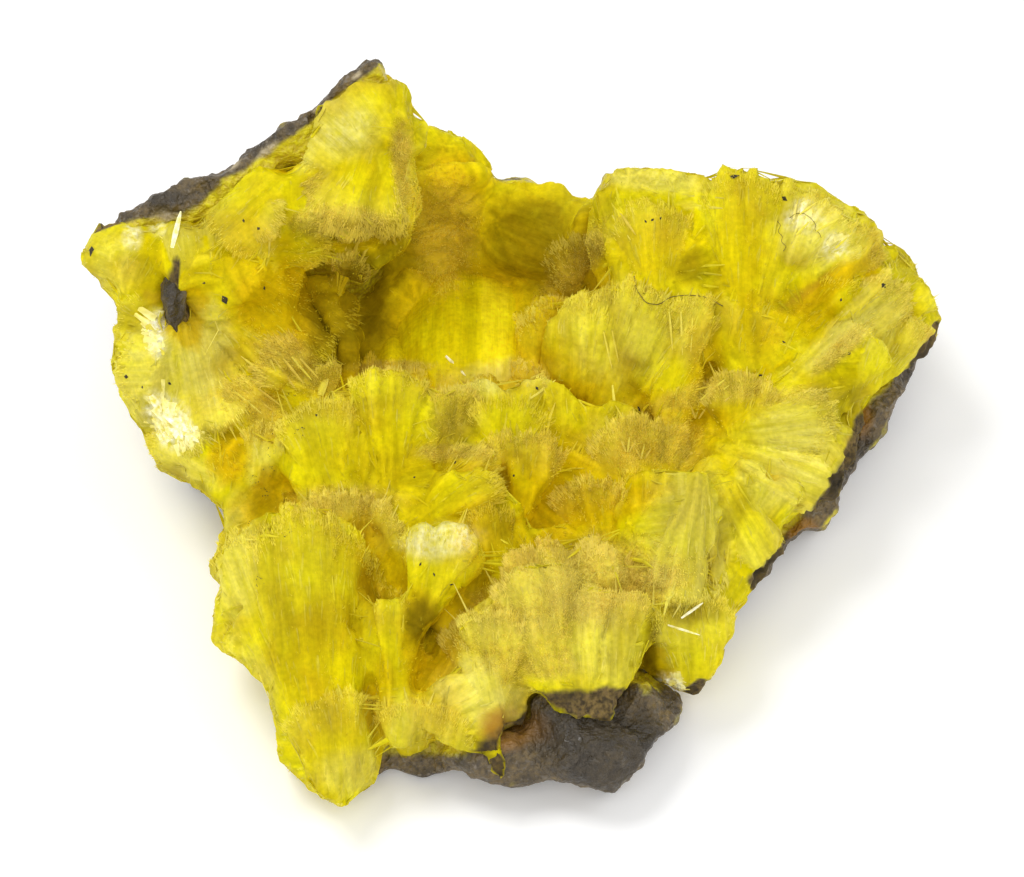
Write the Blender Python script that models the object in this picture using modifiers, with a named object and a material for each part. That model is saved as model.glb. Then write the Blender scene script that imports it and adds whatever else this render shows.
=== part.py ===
"""Sabugalite on autunite: a loose hand specimen, 52 mm wide, that rests on its dark rock matrix.

The specimen is a piece of a crystal-lined vein. A slab of dark rock carries a thick yellow mass of
autunite books and fans, which rises at the left into an arm and at the right into a dome. The hollow
between them is lined with a crust of sabugalite sprays. A dark spur of the rock shows in the left arm.

Frame: X to the right, Y away from the face of the specimen, Z up, origin under its middle, on the table.
Places are given as across, up and height, in millimetres: across and up as seen from FACE_TILT degrees
above the table, looking at the face, and height above the table. Units in the scene are metres.
"""

import math

import bmesh
import bpy
import numpy as np
from mathutils import Matrix, Vector, noise

MM = 0.001
FACE_TILT = math.radians(50.0)
GAP = 0.3  # between neighbouring pieces
FOOT = 0.0  # height of the flat broken foot of the rock
MASS_FOOT = 0.4  # the yellow mass stays this far above the table
CRUST_THICKNESS = 0.9
OUTLINE_DEPTH = 40.0  # how far the broken outline runs to either side of the origin

# Voxel sizes that join the shapes of a piece into one solid
MASS_VOXEL = 0.4
ROCK_VOXEL = 0.5
CRUST_VOXEL = 0.4
HOLLOW_VOXEL = 0.7
FINISH_VOXEL = 0.3  # after the cuts

# Faces kept while a piece is cut, and in the finished pieces
ROUGH_FACES = 8000
HOLLOW_FACES = 900
MASS_FACES = 5200
ROCK_FACES = 1700
CRUST_FACES = 1500

BOOKS_PER_LUMP = 18
CORE_SHARE = 0.86  # size of the solid core of a lump, as a share of its radii
ROOT_SHARE = 0.6  # a blade's width at its root, as a share of its width at the tip
TIP_BEVEL = 0.14  # how far a blade's back edge falls short of its front edge, as a share of its length
FAN_BOW = 0.16  # how far the sides of a fan fall back, as a share of its length
BLADE_STEP = 1.15  # width of one blade at the rim of a fan

AUTUNITE_YELLOW = (0.80, 0.70, 0.03, 1.0)
SABUGALITE_YELLOW = (0.78, 0.60, 0.10, 1.0)
ROCK_BROWN = (0.09, 0.075, 0.06, 1.0)

# Broken outline of the whole specimen on its face, from the nose round by the top: across, up
OUTLINE = [
    (-25.7, 16.8), (-25.7, 18.4), (-24.9, 19.6), (-23.5, 20.0), (-22.3, 20.2), (-21.6, 21.0),
    (-20.8, 21.1), (-19.8, 21.7), (-18.4, 22.0), (-17.4, 22.1), (-15.4, 23.6), (-14.5, 24.1),
    (-13.9, 25.1), (-13.0, 25.2), (-11.2, 26.5), (-10.3, 27.6), (-8.6, 28.8), (-7.9, 29.3),
    (-7.7, 28.1), (-6.8, 27.8), (-6.1, 26.8), (-6.2, 25.0), (-4.8, 25.1), (-3.6, 24.7), (-2.2, 23.8),
    (-1.3, 22.8), (-1.3, 21.8), (0.5, 22.2), (2.6, 21.5), (3.6, 20.5), (4.8, 20.3), (5.3, 21.2),
    (5.7, 22.6), (8.9, 22.2), (12.3, 21.4), (12.8, 22.1), (16.1, 21.8), (18.8, 21.2), (20.0, 20.3),
    (21.5, 19.4), (22.1, 18.4), (22.2, 17.5), (23.3, 17.9), (24.4, 17.2), (24.3, 16.0),
    (25.3, 14.8), (25.9, 13.2), (25.1, 11.5), (24.1, 9.4), (23.2, 8.2), (22.7, 6.8), (22.0, 5.7),
    (21.1, 5.2), (20.6, 4.1), (19.7, 3.2), (19.7, 2.0), (18.7, 0.6), (17.6, 0.8), (16.4, -0.5),
    (15.4, -1.2), (15.5, -1.7), (14.0, -3.3), (13.2, -3.6), (12.9, -5.5), (12.2, -6.0),
    (12.6, -6.6), (11.5, -8.2), (10.7, -9.6), (9.6, -10.8), (8.2, -12.0), (7.6, -13.2), (6.0, -14.7),
    (3.8, -14.3), (2.3, -13.8), (0.4, -14.4), (-1.3, -14.2), (-3.3, -13.2), (-5.2, -14.0),
    (-7.3, -13.3), (-8.8, -14.4), (-9.7, -15.4), (-11.9, -14.5), (-13.6, -12.8), (-13.8, -11.3),
    (-14.3, -8.4), (-16.3, -6.4), (-17.5, -5.9), (-18.1, -3.7), (-18.2, -1.7), (-17.7, 0.1),
    (-17.0, 1.1), (-17.0, 2.0), (-18.5, 3.2), (-21.1, 4.4), (-22.1, 6.2), (-24.1, 10.7),
    (-24.6, 11.8), (-23.8, 12.7), (-23.4, 14.0), (-24.7, 15.7),
]

# Lumps of the yellow mass: across, up, height, then radii along X, Y and Z
MASS_LUMPS = {
    "front_left": (-12.6, -4.2, 5.0, 5.0, 7.4, 4.4),
    "front_left_foot": (-12.4, -9.5, 3.8, 3.0, 4.6, 3.2),
    "front_tip": (-10.2, -12.6, 3.2, 2.6, 2.8, 2.4),
    "front_valley": (-6.0, -8.5, 3.0, 4.6, 5.0, 2.6),
    "front_right": (2.0, -4.4, 5.4, 6.6, 5.6, 4.4),
    "front_right_foot": (-1.5, -9.0, 4.0, 4.4, 4.2, 3.2),
    "centre": (-1.9, 3.2, 5.0, 9.0, 6.0, 4.2),
    "middle": (-4.6, -2.2, 5.2, 4.8, 4.6, 4.0),
    "crest": (-7.6, 5.0, 7.0, 5.0, 3.4, 4.6),
    "crest_foot": (-9.4, 1.4, 6.6, 3.2, 3.2, 3.8),
    "low_right": (9.6, 0.6, 5.2, 6.0, 6.2, 4.2),
    "low_right_edge": (10.4, -5.0, 4.4, 3.0, 4.8, 3.2),
    "middle_right": (15.2, 6.4, 6.0, 5.4, 5.8, 4.6),
    "dome": (16.8, 16.4, 11.4, 6.4, 4.8, 6.6),
    "dome_shoulder": (20.4, 15.8, 10.0, 3.6, 3.6, 4.4),
    "table": (8.8, 18.0, 11.4, 4.4, 3.2, 6.6),
    "broad_fan": (7.4, 10.4, 6.8, 6.4, 4.4, 5.0),
    "right_corner": (22.4, 13.8, 8.4, 3.8, 3.8, 4.0),
    "nose": (-23.2, 17.0, 14.4, 2.9, 2.3, 2.7),
    "nose_foot": (-22.4, 14.4, 12.2, 2.2, 2.6, 2.8),
    "arm_start": (-19.2, 16.4, 14.4, 3.8, 3.0, 3.6),
    "arm_middle": (-13.8, 19.4, 17.2, 4.2, 3.0, 3.8),
    "arm_end": (-8.8, 25.0, 21.0, 3.4, 2.8, 3.9),
    "arm_block": (-9.2, 19.6, 16.0, 3.5, 3.0, 4.6),
    "arm_root": (-16.0, 14.0, 11.0, 4.0, 4.2, 4.8),
    "left_wall": (-20.6, 10.0, 9.4, 3.8, 3.2, 4.4),
    "left_wall_foot": (-18.0, 6.2, 6.8, 3.4, 3.8, 4.4),
    "left_neck": (-15.8, 3.4, 6.2, 3.4, 4.0, 4.4),
    "amber_wall": (-14.0, 10.0, 7.4, 3.2, 4.8, 5.2),
    "back_wall_left": (-4.8, 20.8, 7.8, 4.6, 2.4, 6.6),
    "back_wall_right": (1.8, 17.6, 5.6, 4.8, 2.2, 5.8),
    "hollow_floor": (-4.0, 11.0, 2.6, 8.0, 6.0, 2.4),
}

# Fans of crystal books: root (across, up, height), middle of the rim (across, up, height), half of the
# rim's width, thickness, and how far the face turns to the right (degrees)
FANS = {
    "crest_middle": ((-6.8, 0.0, 8.4), (-6.9, 10.3, 15.0), 3.6, 2.4, 0),
    "crest_left": ((-10.2, 0.0, 8.0), (-12.2, 8.0, 12.8), 3.0, 2.4, -20),
    "crest_right": ((-3.6, 1.2, 8.0), (-1.4, 9.6, 13.0), 2.6, 2.2, 10),
    "middle_pale": ((0.6, 2.0, 7.6), (2.4, 9.6, 12.6), 2.8, 2.2, 10),
    "middle_low": ((-4.4, -2.6, 8.0), (-1.6, 4.2, 11.8), 3.2, 2.2, -10),
    "middle_block": ((-5.6, -4.6, 8.2), (-3.4, 0.8, 12.2), 2.4, 2.4, 0),
    "middle_right": ((4.6, 2.4, 7.2), (6.6, 8.6, 11.8), 3.0, 2.2, 0),
    "front_left_upper": ((-11.8, -9.0, 6.6), (-13.4, 1.8, 11.0), 4.8, 2.6, -10),
    "front_left_lower": ((-10.6, -15.0, 3.8), (-12.4, -4.0, 8.8), 4.0, 2.6, -10),
    "front_valley_blade": ((-6.6, -11.6, 4.6), (-7.2, -3.0, 9.4), 1.5, 2.2, 0),
    "front_right_upper": ((3.4, -9.8, 6.0), (0.0, -1.6, 11.6), 4.8, 2.4, 0),
    "front_right_side": ((5.0, -10.4, 5.4), (6.2, -2.4, 11.2), 3.2, 2.4, 15),
    "front_right_foot": ((-0.6, -13.4, 3.6), (-3.8, -7.6, 7.6), 3.0, 2.2, -10),
    "low_right_pale": ((8.8, -5.4, 7.0), (9.4, 4.6, 12.2), 3.8, 2.2, 10),
    "low_right_side": ((12.6, -3.8, 5.0), (14.6, 4.8, 10.2), 3.2, 2.2, 20),
    "low_right_edge": ((11.4, 1.4, 6.6), (19.2, 6.0, 9.0), 3.2, 2.2, 10),
    "broad_left": ((7.2, 6.6, 7.4), (3.8, 14.4, 12.4), 3.8, 2.2, -10),
    "broad_right": ((9.6, 6.4, 8.0), (9.4, 15.0, 14.0), 3.4, 2.2, 5),
    "table_left": ((7.4, 11.4, 11.2), (7.4, 23.2, 18.4), 2.4, 3.2, 0),
    "table_right": ((10.0, 11.4, 11.2), (10.6, 22.4, 17.8), 2.4, 3.0, 5),
    "dome_left": ((13.6, 7.6, 8.6), (13.6, 22.4, 18.0), 2.6, 2.8, -5),
    "dome_middle": ((15.8, 9.0, 9.4), (17.4, 22.2, 17.4), 3.6, 2.8, 5),
    "dome_right": ((15.4, 7.8, 8.0), (21.0, 17.6, 14.2), 3.2, 2.4, 20),
    "right_ridge": ((14.6, 6.0, 7.8), (22.4, 12.2, 12.0), 2.4, 2.4, 20),
    "right_corner": ((19.8, 8.0, 5.6), (24.6, 15.0, 9.6), 2.6, 2.2, 25),
    "arm_upper": ((-11.8, 18.6, 17.6), (-9.0, 26.8, 23.2), 2.6, 2.6, 20),
    "arm_lower": ((-14.2, 21.4, 18.8), (-9.0, 19.6, 18.6), 2.2, 2.4, 15),
    "arm_face": ((-18.8, 18.6, 15.6), (-14.6, 15.2, 15.4), 3.0, 2.4, 0),
    "left_wall": ((-18.0, 14.0, 11.4), (-22.6, 9.6, 9.8), 3.0, 2.4, -35),
    "left_wall_low": ((-16.4, 10.0, 8.4), (-20.0, 4.6, 7.2), 3.0, 2.4, -35),
    "back_of_dome": ((16.0, 13.0, 8.0), (18.4, 19.2, 14.0), 3.4, 2.6, 150),
    "back_of_table": ((8.6, 13.6, 8.0), (7.6, 20.8, 15.4), 3.2, 2.6, 180),
}

# Sprays of sabugalite that stand on the walls of the hollow, in the same form as FANS
SPRAYS = {
    "back_left": ((-5.6, 15.4, 4.0), (-7.6, 22.2, 10.4), 2.6, 1.8, 20),
    "back_middle": ((-1.8, 14.0, 3.6), (-1.4, 20.4, 9.0), 2.8, 1.8, 0),
    "back_right": ((2.4, 12.8, 3.6), (3.8, 18.4, 9.0), 2.2, 1.8, -10),
    "floor_left": ((-6.2, 9.2, 3.6), (-6.4, 15.4, 6.6), 2.4, 1.8, 10),
    "floor_middle": ((-2.8, 9.0, 4.0), (-2.4, 14.8, 7.6), 2.9, 1.8, 0),
    "floor_right": ((1.4, 9.6, 4.6), (0.6, 13.6, 7.2), 2.0, 1.6, -10),
    "amber_left": ((-11.6, 9.6, 5.2), (-11.2, 15.4, 9.6), 2.4, 1.8, 40),
}

# Shapes that together mark out the hollow, in the same form as MASS_LUMPS
HOLLOW = {
    "floor": (-4.2, 13.0, 6.4, 7.6, 6.4, 5.4),
    "back": (-1.4, 18.2, 9.6, 7.2, 3.6, 6.4),
    "left": (-10.4, 12.0, 7.4, 4.6, 4.4, 4.2),
}

# Angular chunks of the rock slab: centre X, Y, Z and radii along X, Y and Z
ROCK_CHUNKS = {
    "base_middle": (0.5, 0.5, 0.8, 15.0, 12.5, 2.6),
    "base_front": (-2.0, -12.5, 0.8, 10.0, 6.5, 2.4),
    "base_front_right": (4.4, -16.4, 1.6, 6.0, 5.2, 2.8),
    "base_right": (14.0, 4.6, 1.2, 8.6, 9.0, 2.6),
    "base_right_back": (17.2, 12.0, 2.4, 7.4, 6.4, 3.6),
    "base_back": (-2.0, 15.6, 1.4, 15.0, 8.0, 2.8),
    "base_left": (-14.6, 9.4, 1.6, 6.0, 8.0, 3.0),
    "back_wall": (-1.0, 21.6, 4.4, 10.0, 2.4, 5.4),
    "back_right_wall": (10.0, 16.8, 4.2, 8.6, 3.2, 5.6),
    "back_dome_wall": (17.4, 14.6, 4.4, 6.0, 3.8, 5.0),
    "arm_wall_low": (-13.4, 18.2, 6.4, 6.0, 3.6, 7.6),
    "arm_wall": (-15.0, 16.0, 12.6, 6.8, 2.6, 6.4),
    "arm_wall_left": (-19.2, 13.2, 8.4, 4.2, 2.8, 6.6),
    "arm_wall_high": (-12.2, 18.0, 17.2, 3.4, 1.8, 5.4),
}

# Chunks of the rock that crops out through the yellow mass: across, up, height, then radii
OUTCROPS = {
    "front_black": (3.4, -9.8, 4.8, 2.8, 2.4, 2.4),
    "front_knob": (4.8, -12.6, 3.4, 3.6, 2.6, 3.0),
    "front_knob_left": (-1.2, -12.6, 3.0, 3.4, 2.2, 2.4),
    "front_spot": (7.6, -9.2, 4.2, 1.5, 1.4, 1.6),
    "right_knob": (18.4, 1.9, 3.0, 2.4, 2.2, 2.2),
    "right_shoulder": (22.2, 7.4, 3.6, 2.8, 3.0, 2.6),
    "right_foot": (14.2, -2.4, 2.4, 2.6, 2.4, 2.0),
    "rim_nose": (-22.2, 18.8, 15.2, 2.6, 1.6, 1.8),
    "rim_start": (-19.6, 20.4, 17.0, 2.8, 1.8, 2.0),
    "rim_middle": (-16.4, 22.0, 18.6, 3.0, 1.9, 2.2),
    "rim_upper": (-13.0, 24.2, 20.4, 2.8, 1.8, 2.4),
    "rim_high": (-10.6, 26.4, 22.2, 2.4, 1.6, 2.4),
    "rim_peak": (-8.6, 27.8, 23.6, 1.6, 1.2, 2.2),
    "arm_spur": (-20.2, 15.0, 13.9, 1.0, 3.6, 2.9),
}


def face_point(across, up, height):
    """A point in metres from its place on the face: Y follows from how far up it is seen and its height."""
    depth = (up - height * math.cos(FACE_TILT)) / math.sin(FACE_TILT)
    return Vector((across, depth, height)) * MM


def clear_scene():
    for obj in list(bpy.data.objects):
        bpy.data.objects.remove(obj, do_unlink=True)


def material(name, colour, roughness):
    made = bpy.data.materials.new(name)
    made.use_nodes = True
    shader = made.node_tree.nodes["Principled BSDF"]
    shader.inputs["Base Color"].default_value = colour
    shader.inputs["Roughness"].default_value = roughness
    return made


def spiral_directions(count):
    """Unit directions spread evenly over a sphere, along a golden spiral."""
    index = np.arange(count) + 0.5
    polar = np.arccos(1.0 - 2.0 * index / count)
    turn = math.pi * (1.0 + math.sqrt(5.0)) * index
    return np.stack([np.cos(turn) * np.sin(polar), np.sin(turn) * np.sin(polar), np.cos(polar)], 1)


def add_ball(mesh, centre, radii, seed):
    """An ellipsoid with a softly bumpy surface."""
    ball = bmesh.ops.create_icosphere(mesh, subdivisions=3, radius=1.0)["verts"]
    shift = Vector((seed * 7.3, seed * 3.1, seed * 5.7))
    for vert in ball:
        swell = 1.0 + 0.14 * noise.noise(vert.co * 1.7 + shift)
        vert.co = Vector([c * r * swell * MM for c, r in zip(vert.co, radii)]) + centre


def add_chunk(mesh, centre, radii, seed, corners=22, squareness=2.0):
    """An angular block: the hull of jittered corners over an ellipsoid (squareness 2) or a rounder box (more)."""
    draw = np.random.default_rng(seed)
    points = spiral_directions(corners)
    points /= np.sum(np.abs(points) ** squareness, axis=1, keepdims=True) ** (1.0 / squareness)
    points *= draw.uniform(0.86, 1.1, (corners, 1)) * np.array(radii) * MM
    verts = [mesh.verts.new(Vector(p) + centre) for p in points]
    hull = bmesh.ops.convex_hull(mesh, input=verts)
    loose = {v for v in hull["geom_interior"] + hull["geom_unused"] if isinstance(v, bmesh.types.BMVert)}
    bmesh.ops.delete(mesh, geom=list(loose), context="VERTS")


def add_blade(mesh, root, along, side, normal, length, width, thickness):
    """One crystal book: a box that widens from its root to a bevelled tip."""
    for vert in bmesh.ops.create_cube(mesh, size=1.0)["verts"]:
        far = vert.co.z > 0
        spread = 1.0 if far else ROOT_SHARE
        reach = length * (1.0 if far else -0.05) - (TIP_BEVEL * length if far and vert.co.y < 0 else 0.0)
        vert.co = root + along * reach + side * (vert.co.x * width * spread) + normal * (vert.co.y * thickness)


def add_cluster(mesh, centre, radii, seed):
    """A lump of books that point every way from one middle, over a core that closes the gaps between them."""
    add_chunk(mesh, centre, [CORE_SHARE * r for r in radii], seed, corners=30)
    draw = np.random.default_rng(seed)
    size = sum(radii) / 3.0 * MM
    for direction in spiral_directions(BOOKS_PER_LUMP):
        reach = Vector(direction * np.array(radii)) * MM
        along = reach.normalized()
        side = along.orthogonal().normalized()
        side.rotate(Matrix.Rotation(draw.uniform(0.0, math.pi), 3, along))
        normal = side.cross(along)
        length = reach.length * draw.uniform(0.94, 1.1)
        width = size * draw.uniform(0.7, 1.0)
        add_blade(mesh, centre, along, side, normal, length, width, width * draw.uniform(0.4, 0.7))


def add_fan(mesh, root, rim, half_width, thickness, turn, seed):
    """Books side by side that spread from one root, each at its own length, bowed back at the sides."""
    draw = np.random.default_rng(seed)
    start, end = face_point(*root), face_point(*rim)
    length = (end - start).length
    along = (end - start).normalized()
    towards_face = Vector((0.0, -math.cos(FACE_TILT), math.sin(FACE_TILT)))
    towards_face.rotate(Matrix.Rotation(math.radians(turn), 3, "Z"))
    side = along.cross(towards_face).normalized()
    normal = side.cross(along).normalized()
    spread = math.atan2(half_width * MM, length)
    count = max(3, round(2.0 * half_width / BLADE_STEP))
    for i in range(count):
        place = (2.0 * i + 1.0) / count - 1.0
        angle = place * spread
        heading = along * math.cos(angle) + side * math.sin(angle)
        across = side * math.cos(angle) - along * math.sin(angle)
        fall = -normal * (FAN_BOW * length * place * place + draw.uniform(0.0, 0.45) * MM)
        reach = length * (1.0 - 0.1 * place * place) * draw.uniform(0.9, 1.04)
        width = 1.5 * BLADE_STEP * MM
        add_blade(mesh, start, (heading * reach + fall) / reach, across, normal, reach, width, thickness * MM)


def new_object(name, mesh, collection):
    """Puts a finished bmesh into the scene."""
    data = bpy.data.meshes.new(name)
    bmesh.ops.recalc_face_normals(mesh, faces=mesh.faces)
    if mesh.calc_volume(signed=True) < 0.0:
        bmesh.ops.reverse_faces(mesh, faces=mesh.faces)
    mesh.to_mesh(data)
    mesh.free()
    obj = bpy.data.objects.new(name, data)
    collection.objects.link(obj)
    return obj


def join_and_thin(obj, voxel, faces):
    """Joins the overlapping closed shapes of an object into one surface, and thins it to about the given faces."""
    join = obj.modifiers.new("join", "REMESH")
    join.mode = "VOXEL"
    join.voxel_size = voxel * MM
    bake(obj)
    thin = obj.modifiers.new("thin", "DECIMATE")
    triangles = sum(len(p.vertices) - 2 for p in obj.data.polygons)
    thin.ratio = min(1.0, faces / triangles)
    bake(obj)
    keep_largest(obj)


def solid_object(name, mesh, voxel, faces, collection):
    obj = new_object(name, mesh, collection)
    join_and_thin(obj, voxel, faces)
    return obj


def bake(obj):
    """Gives the object the mesh that its modifiers make."""
    graph = bpy.context.evaluated_depsgraph_get()
    made = bpy.data.meshes.new_from_object(obj.evaluated_get(graph))
    obj.modifiers.clear()
    obj.data = made


def keep_largest(obj):
    """Drops the crumbs that a cut leaves behind."""
    mesh = bmesh.new()
    mesh.from_mesh(obj.data)
    unseen = set(mesh.faces)
    islands = []
    while unseen:
        island = set()
        stack = [unseen.pop()]
        while stack:
            face = stack.pop()
            island.add(face)
            for edge in face.edges:
                for other in edge.link_faces:
                    if other in unseen:
                        unseen.discard(other)
                        stack.append(other)
        islands.append(island)
    islands.sort(key=len)
    for island in islands[:-1]:
        bmesh.ops.delete(mesh, geom=list(island), context="FACES")
    mesh.to_mesh(obj.data)
    mesh.free()


def as_cutter(obj):
    obj.hide_render = True
    obj.display_type = "WIRE"
    return obj


def grown_copy(obj, growth, collection):
    """A cutter: the object with its surface moved outward by the growth, in millimetres."""
    copy = bpy.data.objects.new(obj.name + "_grown", obj.data.copy())
    collection.objects.link(copy)
    grow = copy.modifiers.new("grow", "DISPLACE")
    grow.strength = growth * MM
    grow.mid_level = 0.0
    bake(copy)
    join_and_thin(copy, FINISH_VOXEL, ROUGH_FACES)
    return as_cutter(copy)


def combine(obj, other, operation):
    """Cuts the other object out of this one (DIFFERENCE), or keeps only what they share (INTERSECT)."""
    boolean = obj.modifiers.new("combine", "BOOLEAN")
    boolean.operation = operation
    boolean.object = other
    boolean.solver = "MANIFOLD"
    bpy.context.view_layer.update()
    bake(obj)
    keep_largest(obj)


def cut_foot(obj, height):
    """Cuts the object off flat at a height above the table."""
    mesh = bmesh.new()
    mesh.from_mesh(obj.data)
    below = bmesh.ops.bisect_plane(
        mesh,
        geom=mesh.verts[:] + mesh.edges[:] + mesh.faces[:],
        plane_co=(0.0, 0.0, height * MM),
        plane_no=(0.0, 0.0, -1.0),
        clear_outer=True,
    )
    edges = [e for e in below["geom_cut"] if isinstance(e, bmesh.types.BMEdge)]
    bmesh.ops.contextual_create(mesh, geom=edges)
    bmesh.ops.triangulate(mesh, faces=[f for f in mesh.faces if len(f.verts) > 4])
    bmesh.ops.recalc_face_normals(mesh, faces=mesh.faces)
    mesh.to_mesh(obj.data)
    mesh.free()


def rest_on_origin(pieces):
    """Moves the pieces together until the middle of their common box is over the origin."""
    corners = np.array([vert.co for piece in pieces for vert in piece.data.vertices])
    middle = (corners.min(axis=0) + corners.max(axis=0)) / 2.0
    for piece in pieces:
        piece.data.transform(Matrix.Translation((-middle[0], -middle[1], -corners[:, 2].min())))


def build_outline(collection):
    """The broken outline of the specimen as a prism along the line of sight on its face."""
    sight = Vector((0.0, -math.cos(FACE_TILT), math.sin(FACE_TILT))) * OUTLINE_DEPTH * MM
    mesh = bmesh.new()
    near = [mesh.verts.new(face_point(across, up, 0.0) + sight) for across, up in OUTLINE]
    far = [mesh.verts.new(face_point(across, up, 0.0) - sight) for across, up in OUTLINE]
    mesh.faces.new(near)
    mesh.faces.new(reversed(far))
    for i in range(len(OUTLINE)):
        after = (i + 1) % len(OUTLINE)
        mesh.faces.new((near[i], far[i], far[after], near[after]))
    bmesh.ops.triangulate(mesh, faces=mesh.faces)
    return as_cutter(new_object("outline", mesh, collection))


def build_rock(collection):
    mesh = bmesh.new()
    for seed, (x, y, z, *radii) in enumerate(ROCK_CHUNKS.values()):
        add_chunk(mesh, Vector((x, y, z)) * MM, radii, seed, corners=36, squareness=4.0)
    for seed, (across, up, height, *radii) in enumerate(OUTCROPS.values()):
        add_chunk(mesh, face_point(across, up, height), radii, 40 + seed, corners=16)
    return solid_object("matrix_rock", mesh, ROCK_VOXEL, ROUGH_FACES, collection)


def build_mass(collection):
    """The intergrown lumps and fans of the yellow mass."""
    mesh = bmesh.new()
    for seed, (across, up, height, *radii) in enumerate(MASS_LUMPS.values()):
        add_cluster(mesh, face_point(across, up, height), radii, 100 + seed)
    for seed, (root, rim, half_width, thickness, turn) in enumerate(FANS.values()):
        add_fan(mesh, root, rim, half_width, thickness, turn, 150 + seed)
    return solid_object("autunite_mass", mesh, MASS_VOXEL, ROUGH_FACES, collection)


def build_hollow(collection):
    mesh = bmesh.new()
    for seed, (across, up, height, *radii) in enumerate(HOLLOW.values()):
        add_ball(mesh, face_point(across, up, height), radii, 300 + seed)
    hollow = solid_object("hollow", mesh, HOLLOW_VOXEL, HOLLOW_FACES, collection)
    return as_cutter(hollow)


def build_crust(mass, hollow, collection, cutters):
    """The skin of the hollow: the mass's own surface grown outward, with the sprays standing on it."""
    mesh = bmesh.new()
    mesh.from_mesh(grown_copy(mass, GAP + CRUST_THICKNESS, cutters).data)
    for seed, (root, rim, half_width, thickness, turn) in enumerate(SPRAYS.values()):
        add_fan(mesh, root, rim, half_width, thickness, turn, 200 + seed)
    crust = solid_object("sabugalite_crust", mesh, CRUST_VOXEL, ROUGH_FACES, collection)
    combine(crust, hollow, "INTERSECT")
    return crust


def main():
    clear_scene()
    parts = bpy.data.collections.new("sabugalite_on_autunite")
    cutters = bpy.data.collections.new("cutters")
    for collection in (parts, cutters):
        bpy.context.scene.collection.children.link(collection)
    outline = build_outline(cutters)
    rock = build_rock(parts)
    mass = build_mass(parts)
    crust = build_crust(mass, build_hollow(cutters), parts, cutters)
    for piece in (rock, mass, crust):
        combine(piece, outline, "INTERSECT")
    rock_grown = grown_copy(rock, GAP, cutters)
    for piece in (mass, crust):
        combine(piece, rock_grown, "DIFFERENCE")
    combine(crust, grown_copy(mass, GAP, cutters), "DIFFERENCE")
    for piece, faces in ((rock, ROCK_FACES), (mass, MASS_FACES), (crust, CRUST_FACES)):
        join_and_thin(piece, FINISH_VOXEL, faces)
    cut_foot(rock, FOOT)
    cut_foot(mass, MASS_FOOT)
    rest_on_origin((rock, mass, crust))
    finishes = {
        rock: (ROCK_BROWN, 0.8),
        mass: (AUTUNITE_YELLOW, 0.55),
        crust: (SABUGALITE_YELLOW, 0.7),
    }
    for piece, (colour, roughness) in finishes.items():
        piece.data.materials.clear()
        piece.data.materials.append(material(piece.name, colour, roughness))


main()
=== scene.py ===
import math

import bmesh
import bpy
import numpy as np
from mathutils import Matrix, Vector
from mathutils.bvhtree import BVHTree
from mathutils.kdtree import KDTree


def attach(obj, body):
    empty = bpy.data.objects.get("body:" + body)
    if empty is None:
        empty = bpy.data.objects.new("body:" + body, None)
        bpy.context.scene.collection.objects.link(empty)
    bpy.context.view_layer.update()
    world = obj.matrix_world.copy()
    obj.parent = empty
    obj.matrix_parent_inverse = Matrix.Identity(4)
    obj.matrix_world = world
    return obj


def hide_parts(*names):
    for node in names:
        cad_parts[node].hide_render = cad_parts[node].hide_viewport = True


# Sabugalite on autunite: a hand specimen that lies on its dark rock, seen from 50 degrees above the table.
# Lengths are in millimetres. A place on the face is given as across and up, as the camera sees it.

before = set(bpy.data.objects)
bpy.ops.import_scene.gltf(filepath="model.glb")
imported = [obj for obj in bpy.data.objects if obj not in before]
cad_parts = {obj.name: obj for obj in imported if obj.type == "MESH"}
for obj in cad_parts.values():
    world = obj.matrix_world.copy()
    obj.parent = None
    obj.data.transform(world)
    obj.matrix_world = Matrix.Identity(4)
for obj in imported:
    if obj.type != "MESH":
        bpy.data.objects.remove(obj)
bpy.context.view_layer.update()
print("loaded the packed part:", ", ".join(sorted(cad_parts)))

mm = 0.001
faceTilt = math.radians(50.0)
faceOrigin = np.array([-0.1, -0.26, 0.0])  # where across 0, up 0 meets the table
acrossAxis = np.array([1.0, 0.0, 0.0])
upAxis = np.array([0.0, math.sin(faceTilt), math.cos(faceTilt)])
sightAxis = np.array([0.0, -math.cos(faceTilt), math.sin(faceTilt)])  # towards the camera


# eases from 0 at low to 1 at high: 3t^2 - 2t^3
def ease(low, high, value):
    t = np.clip((value - low) / (high - low), 0.0, 1.0)
    return t * t * (3.0 - 2.0 * t)


# a repeatable number from 0 to 1 for whole-number places: multiplied, mixed and shifted
def hashOf(ix, iy, iz, seed):
    h = (ix.astype(np.int64) * 73856093) ^ (iy.astype(np.int64) * 19349663) ^ (iz.astype(np.int64) * 83492791)
    h = (h ^ (seed * 2654435761)) & 0xFFFFFFFF
    h = ((h ^ (h >> 15)) * 2246822519) & 0xFFFFFFFF
    h = ((h ^ (h >> 13)) * 3266489917) & 0xFFFFFFFF
    return (h ^ (h >> 16)).astype(np.float64) / 4294967295.0


# smooth noise from -1 to 1: the eight corner numbers of each cell, blended with an eased weight
def smoothNoise(points, seed):
    cell = np.floor(points)
    f = points - cell
    w = f * f * (3.0 - 2.0 * f)
    cell = cell.astype(np.int64)
    total = np.zeros(len(points))
    for dx in (0, 1):
        for dy in (0, 1):
            for dz in (0, 1):
                weight = (
                    np.where(dx, w[:, 0], 1 - w[:, 0])
                    * np.where(dy, w[:, 1], 1 - w[:, 1])
                    * np.where(dz, w[:, 2], 1 - w[:, 2])
                )
                total += weight * hashOf(cell[:, 0] + dx, cell[:, 1] + dy, cell[:, 2] + dz, seed)
    return total * 2.0 - 1.0


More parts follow.
